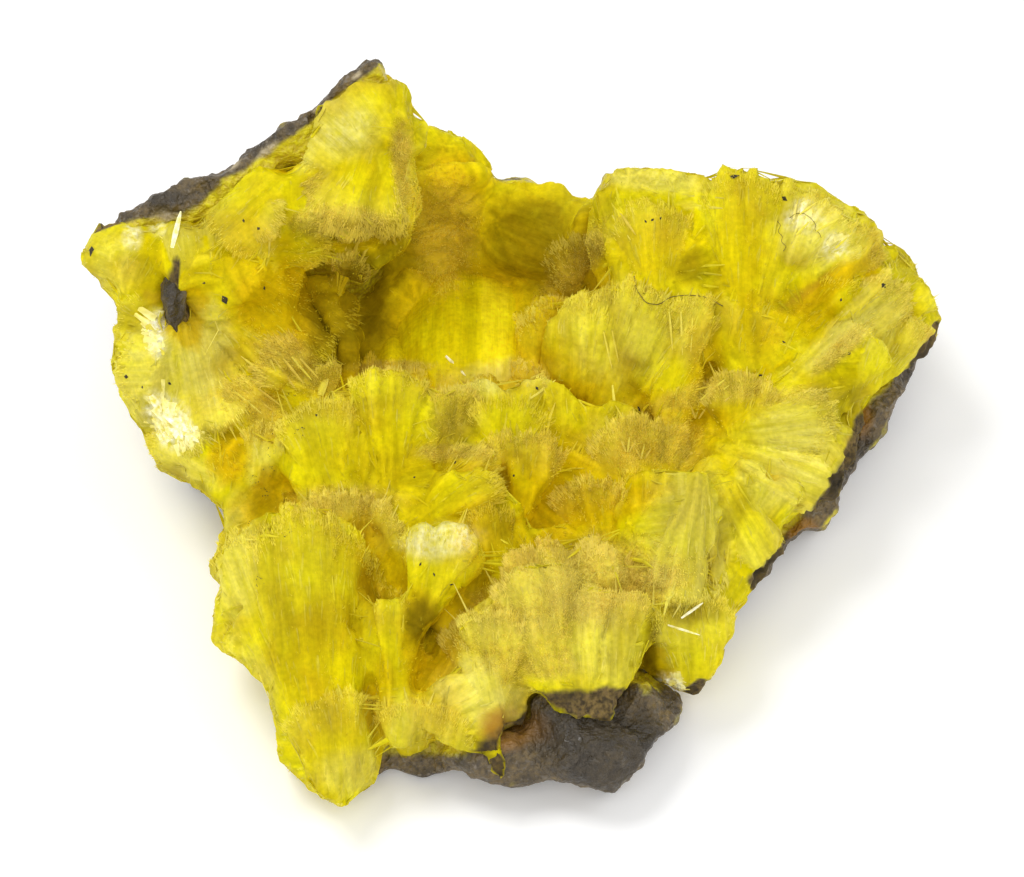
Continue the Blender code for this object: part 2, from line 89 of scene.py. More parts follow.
# noise in layers, each half as large and about half as strong as the one before
def layeredNoise(points, size, layers, seed, gain=0.5):
    total = np.zeros(len(points))
    strength = 1.0
    reach = 0.0
    for i in range(layers):
        total += strength * smoothNoise(points / size + 17.3 * i, seed + i)
        reach += strength
        strength *= gain
        size *= 0.5
    return total / reach


def unit(vectors):
    return vectors / np.maximum(np.linalg.norm(vectors, axis=1, keepdims=True), 1e-9)


# meshes

def readMesh(mesh):
    points = np.empty(len(mesh.vertices) * 3)
    mesh.vertices.foreach_get("co", points)
    normals = np.empty(len(mesh.vertices) * 3)
    mesh.vertices.foreach_get("normal", normals)
    return points.reshape(-1, 3) / mm, normals.reshape(-1, 3)


def readFaces(mesh):
    centres = np.empty(len(mesh.polygons) * 3)
    mesh.polygons.foreach_get("center", centres)
    normals = np.empty(len(mesh.polygons) * 3)
    mesh.polygons.foreach_get("normal", normals)
    areas = np.empty(len(mesh.polygons))
    mesh.polygons.foreach_get("area", areas)
    return centres.reshape(-1, 3) / mm, normals.reshape(-1, 3), areas / (mm * mm)


def readCorners(mesh):
    corners = np.empty(len(mesh.loops), dtype=np.int64)
    mesh.loops.foreach_get("vertex_index", corners)
    starts = np.empty(len(mesh.polygons), dtype=np.int64)
    mesh.polygons.foreach_get("loop_start", starts)
    sizes = np.empty(len(mesh.polygons), dtype=np.int64)
    mesh.polygons.foreach_get("loop_total", sizes)
    return corners, starts, sizes


def writePoints(mesh, points):
    mesh.vertices.foreach_set("co", (points * mm).ravel())
    mesh.update()


def faceCoordinates(points):
    moved = points - faceOrigin
    return moved @ acrossAxis, moved @ upAxis


def facePoint(across, up, height):
    depth = (up - height * math.cos(faceTilt)) / math.sin(faceTilt)
    return np.stack([across, depth, height], -1) + faceOrigin


# a direction on the face, from its parts across and up
def faceWay(across, up):
    return acrossAxis * across[:, None] + upAxis * up[:, None]


# how far places lie from an ellipse's middle, in its half sizes, so that 1 is its edge
def ellipseDistance(across, up, ellipse):
    a, u, wide, tall, turn = ellipse
    c, s = math.cos(math.radians(turn)), math.sin(math.radians(turn))
    x = ((across - a) * c + (up - u) * s) / wide
    y = ((up - u) * c - (across - a) * s) / tall
    return np.hypot(x, y)


def newPiece(name, points, faces):
    mesh = bpy.data.meshes.new(name)
    mesh.from_pydata((points * mm).tolist(), [], faces)
    obj = bpy.data.objects.new(name, mesh)
    bpy.context.scene.collection.objects.link(obj)
    return obj, mesh


def shadeFaces(mesh, smooth):
    mesh.polygons.foreach_set("use_smooth", np.full(len(mesh.polygons), smooth))


def bakeModifiers(obj):
    graph = bpy.context.evaluated_depsgraph_get()
    made = bpy.data.meshes.new_from_object(obj.evaluated_get(graph))
    obj.modifiers.clear()
    obj.data = made


# a merged copy of a CAD node, remeshed evenly and softened, ready for its fine shape
def skinOf(node, name, voxel, softening):
    source = bpy.data.objects[node]
    obj = bpy.data.objects.new(name, source.data.copy())
    bpy.context.scene.collection.objects.link(obj)
    shape = bmesh.new()
    shape.from_mesh(obj.data)
    bmesh.ops.remove_doubles(shape, verts=shape.verts, dist=1e-6)
    shape.to_mesh(obj.data)
    shape.free()
    remesh = obj.modifiers.new("even", "REMESH")
    remesh.mode = "VOXEL"
    remesh.voxel_size = voxel * mm
    bakeModifiers(obj)
    soften = obj.modifiers.new("soften", "SMOOTH")
    soften.factor = 0.5
    soften.iterations = softening
    bakeModifiers(obj)
    shadeFaces(obj.data, True)
    print(name, "has", len(obj.data.polygons), "faces")
    return obj


def setMask(mesh, name, values):
    layer = mesh.attributes.new(name, "FLOAT_COLOR", "POINT")
    layer.data.foreach_set("color", values.astype(np.float32).ravel())


def setUv(mesh, values):
    layer = mesh.uv_layers.new(name="flow")
    layer.data.foreach_set("uv", values.astype(np.float32).ravel())


# openness: how much of the sky a point sees, by rays into the CAD solids; it sets where painted shade is laid

openness = {"rays": 24, "reach": 14.0, "step": 40}


def skyTree():
    points, faces, base = [], [], 0
    for node in ("autunite_mass", "matrix_rock", "sabugalite_crust"):
        mesh = bpy.data.objects[node].data
        own, _ = readMesh(mesh)
        points.append(own)
        faces += [tuple(base + v for v in face.vertices) for face in mesh.polygons]
        base += len(own)
    return BVHTree.FromPolygons([tuple(p) for p in np.concatenate(points)], faces)


# rays fan out over a hemisphere by the golden angle; the share that meets nothing is the openness
def opennessOf(points, normals, tree):
    index = np.arange(openness["rays"]) + 0.5
    high = 1.0 - index / openness["rays"]
    turn = math.pi * (1.0 + math.sqrt(5.0)) * index
    flat = np.sqrt(1.0 - high * high)
    rays = [Vector(ray) for ray in np.stack([flat * np.cos(turn), flat * np.sin(turn), high], 1)]
    seen = np.zeros(len(points))
    for i, (point, normal) in enumerate(zip(points, normals)):
        up = Vector(normal)
        turned = up.to_track_quat("Z", "Y")
        start = Vector(point) + up * 0.5
        seen[i] = sum(tree.ray_cast(start, turned @ ray, openness["reach"])[0] is None for ray in rays)
    return seen / openness["rays"]


# openness at some of the points, carried to all the others from the three nearest
def spreadOpenness(points, normals, tree):
    chosen = np.arange(0, len(points), openness["step"])
    values = opennessOf(points[chosen], normals[chosen], tree)
    near = KDTree(len(chosen))
    for i, place in enumerate(points[chosen]):
        near.insert(place, i)
    near.balance()
    result = np.empty(len(points))
    for i, place in enumerate(points):
        found = near.find_n(place, 3)
        weights = [1.0 / (0.05 + f[2]) for f in found]
        result[i] = sum(w * values[f[1]] for w, f in zip(weights, found)) / sum(weights)
    return result


tree = skyTree()

# camera, floor and lights

camera = bpy.data.objects.new("camera", bpy.data.cameras.new("camera"))
bpy.context.scene.collection.objects.link(camera)
bpy.context.scene.camera = camera
cameraSettings = {"distance": 600.0, "frameWidth": 61.44, "up": 6.21, "height": 8.0}
target = facePoint(0.0, cameraSettings["up"], cameraSettings["height"])
camera.data.sensor_width = 36.0
camera.data.lens = 36.0 * cameraSettings["distance"] / cameraSettings["frameWidth"]
camera.data.clip_start = 0.01
camera.data.clip_end = 10.0
camera.location = Vector((target + sightAxis * cameraSettings["distance"]) * mm)
camera.rotation_mode = "QUATERNION"
camera.rotation_quaternion = (-Vector(sightAxis)).to_track_quat("-Z", "Y")

floorMesh = bpy.data.meshes.new("floor")
floorMesh.from_pydata([(-2, -2, 0), (2, -2, 0), (2, 2, 0), (-2, 2, 0)], [], [(0, 1, 2, 3)])
floor = bpy.data.objects.new("floor", floorMesh)
bpy.context.scene.collection.objects.link(floor)
floorMaterial = bpy.data.materials.new("paleFloor")
floorMaterial.use_nodes = True
floorShader = floorMaterial.node_tree.nodes["Principled BSDF"]
floorShader.inputs["Base Color"].default_value = (0.93, 0.93, 0.93, 1)
floorShader.inputs["Roughness"].default_value = 0.9
floorShader.inputs["Emission Color"].default_value = (1, 1, 1, 1)
floorShader.inputs["Emission Strength"].default_value = 0.12
floorMesh.materials.append(floorMaterial)

world = bpy.data.worlds.new("studio")
bpy.context.scene.world = world
world.use_nodes = True
world.node_tree.nodes["Background"].inputs["Color"].default_value = (1.0, 1.0, 1.0, 1.0)
world.node_tree.nodes["Background"].inputs["Strength"].default_value = 0.58

lights = {
    "keyLight": {"at": (-0.20, 0.06, 0.44), "size": 0.24, "watts": 0.95},
    "fillLight": {"at": (0.34, -0.05, 0.36), "size": 0.40, "watts": 0.55},
    "frontLight": {"at": (-0.05, -0.33, 0.40), "size": 0.30, "watts": 0.65},
}
for name, values in lights.items():
    light = bpy.data.objects.new(name, bpy.data.lights.new(name, "AREA"))
    light.data.shape = "DISK"
    light.data.size = values["size"]
    light.data.energy = values["watts"]
    light.location = values["at"]
    light.rotation_mode = "QUATERNION"
    light.rotation_quaternion = (-Vector(values["at"])).to_track_quat("-Z", "Y")
    bpy.context.scene.collection.objects.link(light)
bpy.context.scene.view_settings.view_transform = "Standard"
print("camera, floor and lights are set")

# the crystal fans of the face: root, rim, half angle, lift, blades across, then pale, amber, tan and fringe
# the amber column is the own amber tone, partly painted shade in hollows
fans = {
    "noseBulb": ((-20.8, 16.2), (-25.4, 18.1), 46, 0.25, 0, 0.25, 0.0, 0.0, 0),
    "noseFlap": ((-20.0, 12.1), (-23.8, 13.6), 30, 0.45, 3, 0.3, 0.1, 0.05, 0.1),
    "armHead": ((-6.8, 23.5), (-10.0, 28.0), 38, 0.45, 4, 0.35, 0.0, 0.1, 0),
    "armPearl": ((-6.7, 21.1), (-11.6, 25.4), 30, 0.4, 5, 0.6, 0.0, 0.05, 0.1),
    "armLow": ((-7.6, 25.3), (-10.0, 18.6), 34, 0.55, 6, 0.15, 0.1, 0.45, 0.9),
    "armMiddle": ((-12.7, 22.6), (-17.4, 18.4), 36, 0.45, 5, 0.3, 0.05, 0.1, 0.1),
    "armKnuckle": ((-16.6, 21.1), (-14.4, 18.4), 40, 0.5, 3, 0.45, 0.1, 0.3, 0.4),
    "sliverSide": ((-18.0, 12.7), (-19.2, 19.8), 20, 0.35, 4, 0.75, 0.0, 0.0, 0.1),
    "leftPale": ((-19.8, 14.8), (-18.0, 7.0), 26, 0.4, 4, 0.7, 0.0, 0.0, 0.1),
    "leftStripe": ((-19.0, 14.8), (-15.0, 10.8), 16, 0.3, 4, 0.35, 0.15, 0.0, 0.2),
    "leftEdge": ((-20.0, 10.2), (-23.6, 10.2), 38, 0.35, 4, 0.45, 0.0, 0.0, 0.1),
    "leftPearl": ((-22.0, 8.5), (-18.4, 5.8), 30, 0.5, 6, 0.9, 0.0, 0.0, 0.3),
    "lowLip": ((-16.0, 3.4), (-21.6, 6.1), 22, 0.45, 5, 0.45, 0.0, 0.05, 0.3),
    "amberPocket": ((-16.9, 2.8), (-17.0, 7.2), 42, 0.1, 0, 0.0, 0.6, 0.0, 0),
    "amberWall": ((-17.4, 16.8), (-10.4, 12.1), 34, 0.25, 4, 0.0, 0.65, 0.1, 0.2),
    "amberTop": ((-16.3, 16.9), (-10.9, 18.1), 22, 0.3, 4, 0.0, 0.7, 0.15, 0.4),
    "tanFan": ((-11.6, 11.8), (-9.4, 17.0), 16, 0.5, 5, 0.0, 0.35, 0.55, 0.9),
    "bladesUp": ((-10.4, 8.4), (-14.9, 11.4), 24, 0.5, 9, 0.1, 0.2, 0.45, 1.0),
    "bladesLow": ((-13.0, 6.6), (-17.0, 8.9), 24, 0.5, 8, 0.3, 0.1, 0.4, 0.8),
    "creamRidge": ((-15.0, 2.5), (-14.6, 7.0), 22, 0.4, 4, 0.55, 0.05, 0.2, 0.3),
    "flake": ((-10.7, 8.3), (-11.4, 10.6), 30, 0.6, 3, 0.15, 0.1, 0.6, 0.6),
    "tableTop": ((5.0, 20.8), (12.6, 21.2), 14, 0.25, 7, 0.5, 0.0, 0.25, 0.2),
    "tableFront": ((8.9, 12.7), (8.2, 20.2), 22, 0.45, 7, 0.2, 0.05, 0.1, 0.3),
    "ridge": ((5.3, 12.7), (3.2, 18.1), 22, 0.5, 5, 0.2, 0.0, 0.55, 0.6),
    "broadLeft": ((3.2, 5.5), (3.2, 14.5), 24, 0.7, 9, 0.35, 0.0, 0.05, 0.5),
    "broadFan": ((4.4, 4.3), (8.4, 15.0), 20, 0.8, 10, 0.3, 0.05, 0.1, 0.6),
    "broadRight": ((7.7, 5.5), (11.3, 14.5), 11, 0.7, 5, 0.25, 0.15, 0.15, 0.5),
    "domeFan": ((13.8, 11.4), (13.7, 21.8), 17, 0.8, 8, 0.1, 0.05, 0.05, 0.3),
    "domeRight": ((14.4, 11.4), (17.3, 21.1), 13, 0.6, 5, 0.3, 0.05, 0.15, 0.3),
    "domePearl": ((15.5, 15.4), (19.6, 19.6), 34, 0.5, 6, 0.75, 0.0, 0.1, 0.2),
    "domeShoulder": ((18.2, 14.5), (21.7, 18.4), 22, 0.45, 5, 0.25, 0.3, 0.35, 0.4),
    "yellowValley": ((13.4, 9.0), (21.0, 15.0), 15, 0.35, 7, 0.0, 0.3, 0.0, 0.3),
    "farRight": ((21.6, 12.7), (24.8, 16.4), 34, 0.5, 4, 0.2, 0.0, 0.05, 0.2),
    "paleRidge": ((15.6, 8.8), (23.4, 15.4), 12, 0.8, 6, 0.55, 0.0, 0.35, 0.5),
    "rightShelf": ((19.6, 5.8), (23.8, 13.2), 17, 0.6, 5, 0.5, 0.0, 0.15, 0.3),
    "cornerFlake": ((22.1, 10.3), (25.1, 12.7), 26, 0.5, 4, 0.5, 0.1, 0.15, 0.2),
    "rightTips": ((13.4, 5.5), (13.6, 10.0), 40, 0.6, 8, 0.2, 0.15, 0.4, 1.0),
    "rightUpper": ((11.4, 6.4), (19.4, 7.3), 18, 0.7, 7, 0.55, 0.0, 0.1, 0.4),
    "rightMiddle": ((11.4, 6.1), (18.6, 3.2), 15, 0.7, 8, 0.7, 0.0, 0.05, 0.4),
    "rightLow": ((11.5, 5.8), (15.4, -1.2), 13, 0.6, 8, 0.5, 0.05, 0.05, 0.4),
    "cornerPale": ((16.8, 8.6), (20.3, 4.8), 22, 0.6, 5, 0.6, 0.05, 0.2, 0.4),
    "rightDown": ((11.4, 5.6), (10.2, -3.5), 19, 0.9, 10, 0.75, 0.0, 0.1, 0.5),
    "goldLeft": ((0.5, 0.1), (0.5, 6.6), 30, 0.4, 8, 0.0, 0.35, 0.35, 1.0),
    "goldRight": ((7.7, 1.3), (7.7, 7.3), 40, 0.45, 9, 0.05, 0.3, 0.4, 1.0),
    "goldLow": ((5.3, -1.1), (4.4, 3.8), 34, 0.4, 8, 0.05, 0.4, 0.3, 1.0),
    "paleCluster": ((0.0, 6.1), (-0.2, 10.8), 38, 0.65, 7, 0.65, 0.0, 0.15, 0.8),
    "yellowCushion": ((-0.4, 4.3), (0.0, 8.6), 44, 0.5, 5, 0.1, 0.0, 0.0, 0.4),
    "crestRight": ((-3.8, 4.3), (-3.2, 9.4), 22, 0.4, 7, 0.0, 0.2, 0.45, 1.0),
    "crestLeft": ((-10.4, 1.9), (-12.0, 8.4), 27, 0.7, 8, 0.2, 0.0, 0.05, 0.6),
    "crestMain": ((-7.2, 1.6), (-7.4, 10.9), 18, 1.0, 11, 0.1, 0.0, 0.1, 1.0),
    "middleFan": ((-6.8, 0.6), (-1.2, 4.8), 22, 0.8, 6, 0.1, 0.0, 0.1, 0.7),
    "shadeBand": ((-0.4, -4.1), (-1.4, 2.2), 17, 0.4, 6, 0.0, 0.45, 0.1, 0.6),
    "paleCrystal": ((-5.3, -4.8), (-4.3, 0.8), 28, 0.9, 3, 0.3, 0.05, 0.0, 0.1),
    "frontTop": ((-10.0, -3.5), (-9.7, 2.8), 40, 0.5, 9, 0.35, 0.05, 0.3, 0.8),
    "frontLeftEdge": ((-12.7, -10.7), (-16.8, 0.1), 15, 0.6, 6, 0.45, 0.0, 0.0, 0.3),
    "frontLeft": ((-10.9, -17.3), (-12.4, 1.6), 13, 0.8, 12, 0.15, 0.0, 0.05, 0.5),
    "frontLeftRight": ((-10.0, -17.3), (-9.6, 0.1), 8, 0.7, 6, 0.05, 0.1, 0.05, 0.4),
    "lowerLobe": ((-9.6, -16.1), (-10.3, -8.8), 34, 0.6, 7, 0.25, 0.0, 0.05, 0.3),
    "lowerRight": ((-6.1, -15.5), (-4.9, -9.5), 40, 0.5, 7, 0.3, 0.1, 0.1, 0.3),
    "bladeFront": ((-7.1, -10.4), (-7.1, -2.6), 9, 0.9, 3, 0.15, 0.05, 0.05, 0.2),
    "fuzzyLeft": ((-0.7, -10.4), (-2.0, -4.1), 30, 0.7, 8, 0.6, 0.0, 0.3, 0.6),
    "fuzzyDome": ((3.8, -11.6), (2.9, -0.2), 27, 1.0, 14, 0.35, 0.0, 0.6, 1.0),
    "greenBlock": ((6.0, -9.8), (6.0, -2.8), 19, 0.7, 5, 0.4, 0.0, 0.15, 0.4),
    "bottomRight": ((11.3, -11.9), (10.7, -3.5), 24, 0.5, 7, 0.45, 0.0, 0.05, 0.4),
}

# patches of colour on the face: kind, across, up, its two radii, turn in degrees, strength
# olive shade patches are painted shade, pearl highlight patches a painted highlight on pale crystal, amber
# partly painted shade
patches = [
    ("pale", -10.0, 24.7, 2.5, 2.0, 20, 0.60),
    ("pale", -12.4, 23.4, 1.0, 1.4, 0, 0.80),
    ("pale", -18.7, 20.2, 1.8, 1.0, 20, 0.50),
    ("pale", -18.4, 10.6, 2.0, 3.7, 0, 1.00),
    ("pale", -21.4, 10.4, 2.2, 3.0, 0, 0.75),
    ("pale", -23.6, 16.6, 1.6, 2.0, 0, 0.45),
    ("pale", -1.2, -9.4, 2.8, 1.6, 0, 0.90),
    ("pearl", -21.4, 12.4, 0.5, 1.4, 10, 0.80),
    ("pearl", -20.4, 7.3, 2.0, 1.2, -45, 1.00),
    ("pearl", -22.7, 18.2, 0.6, 0.8, 0, 0.50),
    ("pale", -22.9, 8.5, 1.6, 3.0, 20, 0.60),
    ("pale", -19.6, 4.8, 2.8, 1.1, -35, 0.60),
    ("pale", -15.0, 5.2, 1.0, 2.8, 0, 0.60),
    ("pale", -0.4, 10.0, 3.5, 1.1, 8, 0.90),
    ("pearl", -4.3, 0.1, 2.2, 0.8, 6, 0.30),
    ("pale", -4.3, 0.0, 2.6, 1.1, 6, 0.90),
    ("pale", -16.3, -1.1, 1.6, 4.2, 0, 0.60),
    ("pale", -15.7, -8.3, 1.8, 3.6, 20, 0.50),
    ("pale", 18.4, 18.8, 2.9, 2.3, -20, 0.80),
    ("pearl", 17.4, 19.4, 1.2, 1.0, -20, 0.55),
    ("pearl", 19.4, 17.8, 1.0, 0.8, -20, 0.50),
    ("oliveShade", -11.4, 12.8, 1.0, 2.8, 0, 0.70),
    ("pale", 8.6, 21.7, 3.8, 0.8, -6, 0.70),
    ("pale", 10.4, 0.7, 2.8, 4.7, 0, 0.60),
    ("pale", 16.7, 5.2, 3.1, 3.6, -30, 0.70),
    ("pale", 20.0, 12.4, 4.0, 0.9, 38, 0.80),
    ("pale", 22.6, 13.2, 1.6, 1.8, 0, 0.60),
    ("pearl", 9.4, -9.0, 0.9, 1.3, 0, 1.00),
    ("pale", -9.1, -13.4, 2.6, 1.6, 0, 0.50),
    ("pale", 5.3, -5.9, 2.4, 3.0, 0, 0.55),
    ("pale", -2.6, -8.3, 2.4, 2.0, 0, 0.90),
    ("pale", 2.9, -3.5, 5.4, 3.0, 10, 0.45),
    ("pearl", -9.7, 24.7, 1.6, 0.9, 30, 0.12),
    ("pale", -5.5, -10.4, 3.6, 1.8, 0, 0.40),
    ("pale", 6.0, 12.7, 3.4, 3.6, 0, 0.35),
    ("pale", 10.7, 12.7, 1.1, 2.4, 0, 0.40),
    ("amber", -13.2, 13.9, 3.7, 3.7, 0, 0.80),
    ("amber", -16.8, 5.2, 1.4, 2.0, 0, 0.85),
    ("amber", -3.7, 20.2, 2.5, 3.7, 0, 0.75),
    ("amber", 3.8, 4.3, 5.4, 2.5, 10, 0.55),
    ("amber", -1.4, 0.8, 2.0, 2.4, 0, 0.60),
    ("amber", 19.1, 15.4, 3.7, 0.7, 36, 0.80),
    ("amber", 21.6, 16.8, 0.7, 1.6, 0, 0.60),
    ("amber", 11.6, 10.9, 1.3, 3.1, 0, 0.60),
    ("amber", -5.5, -5.9, 1.1, 4.2, 0, 0.60),
    ("amber", 5.9, 2.2, 3.7, 1.2, 18, 0.70),
    ("amber", 10.1, 7.8, 3.5, 1.6, -20, 0.50),
    ("amber", 16.1, 13.3, 3.6, 1.6, 30, 0.45),
    ("amber", -9.1, 18.1, 3.1, 1.4, 0, 0.70),
    ("amber", -4.3, -9.5, 1.8, 2.0, 0, 0.30),
    ("amber", -21.7, 16.8, 1.1, 1.6, 0, 0.35),
    ("amber", -7.6, -8.9, 0.8, 2.6, 0, 0.40),
    ("amber", 2.9, 0.7, 3.6, 0.8, 28, 0.60),
    ("oliveShade", -9.0, 14.4, 2.3, 3.7, 0, 0.95),
    ("oliveShade", -10.0, 11.8, 1.4, 1.8, 0, 0.90),
    ("oliveShade", 1.4, 18.2, 3.7, 3.2, 0, 0.80),
    ("oliveShade", 10.7, 16.2, 1.6, 1.2, 20, 0.55),
    ("oliveShade", 20.4, 8.2, 1.2, 2.6, 20, 0.50),
    ("oliveShade", -5.3, -4.6, 1.0, 1.6, 0, 0.95),
    ("oliveShade", 8.2, -6.5, 0.5, 2.8, 0, 0.80),
    ("oliveShade", -3.1, 7.0, 1.3, 1.6, 0, 0.40),
    ("oliveShade", 13.0, 1.3, 0.7, 2.4, -30, 0.45),
    ("oliveShade", 12.6, 11.5, 0.8, 3.0, 0, 0.40),
    ("oliveShade", 7.7, 20.5, 2.4, 0.6, 0, 0.20),
    ("oliveShade", -7.0, 17.2, 1.6, 2.4, 0, 0.60),
    ("oliveShade", -17.4, 6.6, 1.3, 0.6, 0, 0.40),
    ("oliveShade", -0.7, 1.3, 1.0, 2.4, 0, 0.35),
    ("oliveShade", 10.7, -4.1, 2.2, 0.8, 0, 0.50),
    ("tan", -10.0, 19.2, 3.4, 1.0, 0, 0.70),
    ("tan", -6.6, 22.3, 0.7, 3.4, 0, 0.70),
    ("tan", 3.8, 16.8, 3.1, 1.0, 50, 0.75),
    ("tan", -12.7, 10.4, 3.1, 1.3, -30, 0.55),
    ("tan", -15.4, 8.2, 2.4, 1.3, -30, 0.50),
    ("tan", 5.3, -2.2, 5.0, 2.6, 10, 0.70),
    ("tan", 8.4, -2.0, 2.0, 1.1, 0, 0.80),
    ("tan", -7.4, 10.6, 2.9, 0.4, 0, 0.80),
    ("tan", 7.7, 6.1, 3.4, 2.0, 0, 0.50),
    ("tan", -3.6, 8.2, 1.4, 2.5, 0, 0.45),
    ("tan", -3.0, 5.4, 2.6, 0.6, 0, 0.60),
    ("tan", 0.5, -5.3, 3.6, 3.0, 0, 0.50),
    ("tan", 17.3, 8.8, 2.4, 0.7, 0, 0.50),
    ("tan", 10.7, 8.8, 3.6, 0.7, 20, 0.40),
    ("tan", -10.3, 2.5, 3.4, 1.0, 0, 0.50),
    ("tan", 2.0, -7.1, 2.0, 1.2, 0, 0.60),
    ("tan", 12.8, 9.0, 2.4, 0.7, 0, 0.50),
    ("tan", -4.3, 18.6, 2.4, 3.4, 0, 0.45),
    ("tan", 20.3, 5.2, 0.8, 1.4, 0, 0.40),
    ("tan", 25.1, 11.8, 0.7, 1.1, 0, 0.50),
    ("tan", 19.7, 11.6, 2.6, 0.6, 40, 0.60),
    ("amber", -4.6, 17.6, 2.0, 3.4, 0, 0.70),
    ("amber", -15.4, 17.2, 3.0, 2.6, 0, 0.40),
    ("amber", -22.4, 16.0, 1.8, 1.4, 0, 0.30),
    ("amber", 13.4, 17.6, 1.6, 3.6, 0, 0.30),
    ("amber", 14.6, 13.0, 2.2, 2.6, 0, 0.40),
    ("amber", 8.9, 17.4, 3.0, 2.4, 0, 0.35),
    ("amber", -8.0, 5.0, 2.4, 2.6, 0, 0.20),
    ("amber", -11.0, -8.0, 2.0, 5.0, 0, 0.25),
    ("oliveShade", -12.2, -3.4, 2.6, 4.4, 0, 0.24),
    ("oliveShade", -10.0, 18.6, 3.4, 0.8, 0, 0.55),
    ("oliveShade", 7.1, -5.9, 1.8, 2.4, 0, 0.34),
    ("oliveShade", -18.6, 10.6, 1.8, 3.0, 0, 0.24),
    ("pearl", -21.1, 18.9, 0.7, 0.6, 0, 0.40),
    ("oliveShade", 10.4, 1.3, 2.2, 3.6, 0, 0.24),
    ("oliveShade", 19.2, 9.6, 1.6, 1.6, 0, 0.30),
    ("oliveShade", -19.6, 3.4, 2.6, 0.8, -30, 0.50),
    ("oliveShade", 8.2, -6.4, 0.4, 2.4, 0, 0.60),
    ("oliveShade", -8.8, 15.6, 1.8, 2.2, 0, 0.70),
    ("stain", -0.7, -10.8, 1.3, 1.3, 0, 0.90),
    ("stain", -21.8, 14.6, 0.5, 0.6, 0, 0.35),
    ("stain", 17.6, 15.0, 2.6, 0.25, 36, 0.35),
    ("stain", 4.6, 0.1, 0.4, 0.3, 0, 0.40),
    ("stain", 25.0, 12.2, 0.3, 1.0, 20, 0.50),
    ("stain", 20.2, 5.6, 0.5, 1.2, 30, 0.40),
]

# where dark rock shows on the face: lines of across, up and half width
rockBands = [
    [  # top edge, with its black knob
        (-25.4, 18.7, 0.3), (-24.4, 19.3, 0.5), (-22.8, 19.9, 0.6), (-21.1, 20.5, 1.2), (-19.3, 20.9, 1.0),
        (-18.0, 21.7, 0.7),
    ],
    [  # top edge, brown
        (-18.0, 22.0, 0.6), (-16.6, 22.8, 0.8), (-15.0, 23.8, 0.7), (-13.3, 24.7, 0.5),
        (-11.6, 26.2, 0.5), (-10.0, 27.6, 0.5), (-8.3, 28.8, 0.5),
    ],
    [(-20.0, 17.4, 0.3), (-20.3, 16.2, 0.6), (-20.4, 14.8, 0.8), (-20.2, 13.6, 0.5)],  # sliver
    [  # right edge
        (25.7, 13.1, 0.2), (24.8, 11.4, 0.5), (23.4, 9.0, 0.7), (21.7, 7.0, 1.0), (20.3, 4.6, 0.9),
        (19.3, 2.9, 0.8), (18.0, 1.1, 0.8), (16.4, -0.2, 0.5), (14.7, -2.3, 0.7),
    ],
    [  # foot
        (-7.0, -13.4, 0.9), (-2.5, -13.4, 1.1), (-0.4, -12.9, 2.0), (2.0, -12.2, 3.0), (4.7, -12.1, 3.4),
        (7.1, -11.3, 2.7), (8.9, -9.8, 1.4),
    ],
    [(1.7, -9.5, 0.8), (4.1, -9.5, 1.0), (7.2, -9.1, 0.7)],  # foot, upper dark grains
    [(10.7, -8.8, 0.5), (11.2, -8.3, 0.4)],  # small bits
]

spraySettings = {"roots": 420, "reach": 4.2, "lift": 0.42, "blades": 14, "facing": (0.04, 0.3)}
hollow = {"ellipse": (-7.5, 14.5, 7.5, 5.5, 0), "calm": 0.85}  # where the scattered sprays are flattened


# scattered sprays for the sides and the back: roots on the CAD solid, each with a way that it points
def wildSprays(rng):
    mesh = bpy.data.objects["autunite_mass"].data
    centres, normals, areas = readFaces(mesh)
    chosen = rng.choice(len(centres), spraySettings["roots"], p=areas / areas.sum(), replace=False)
    sideways = rng.normal(size=(len(chosen), 3)) + np.array([0.0, 0.0, 0.9])
    ways = sideways - normals[chosen] * (sideways * normals[chosen]).sum(1, keepdims=True)
    return centres[chosen], normals[chosen], unit(ways)


wildRoots, wildNormals, wildWays = wildSprays(np.random.default_rng(11))


# the nearest scattered root of each point, worked out in slices to spare memory
def nearestWild(points):
    nearest = np.empty(len(points), dtype=np.int64)
    shifted = wildRoots + wildWays * spraySettings["reach"] * 0.35
    for start in range(0, len(points), 4000):
        part = points[start:start + 4000]
        gaps = ((part[:, None, :] - shifted[None, :, :]) ** 2).sum(2)
        nearest[start:start + 4000] = gaps.argmin(1)
    return nearest


# uneven stripes from 0 to 1: a random number at each whole step, blended with an eased weight
def stripes(x, seed):
    cell = np.floor(x)
    f = x - cell
    zero = np.zeros(len(x))
    first = hashOf(cell, zero, zero, seed)
    return first + (hashOf(cell + 1, zero, zero, seed) - first) * f * f * (3.0 - 2.0 * f)


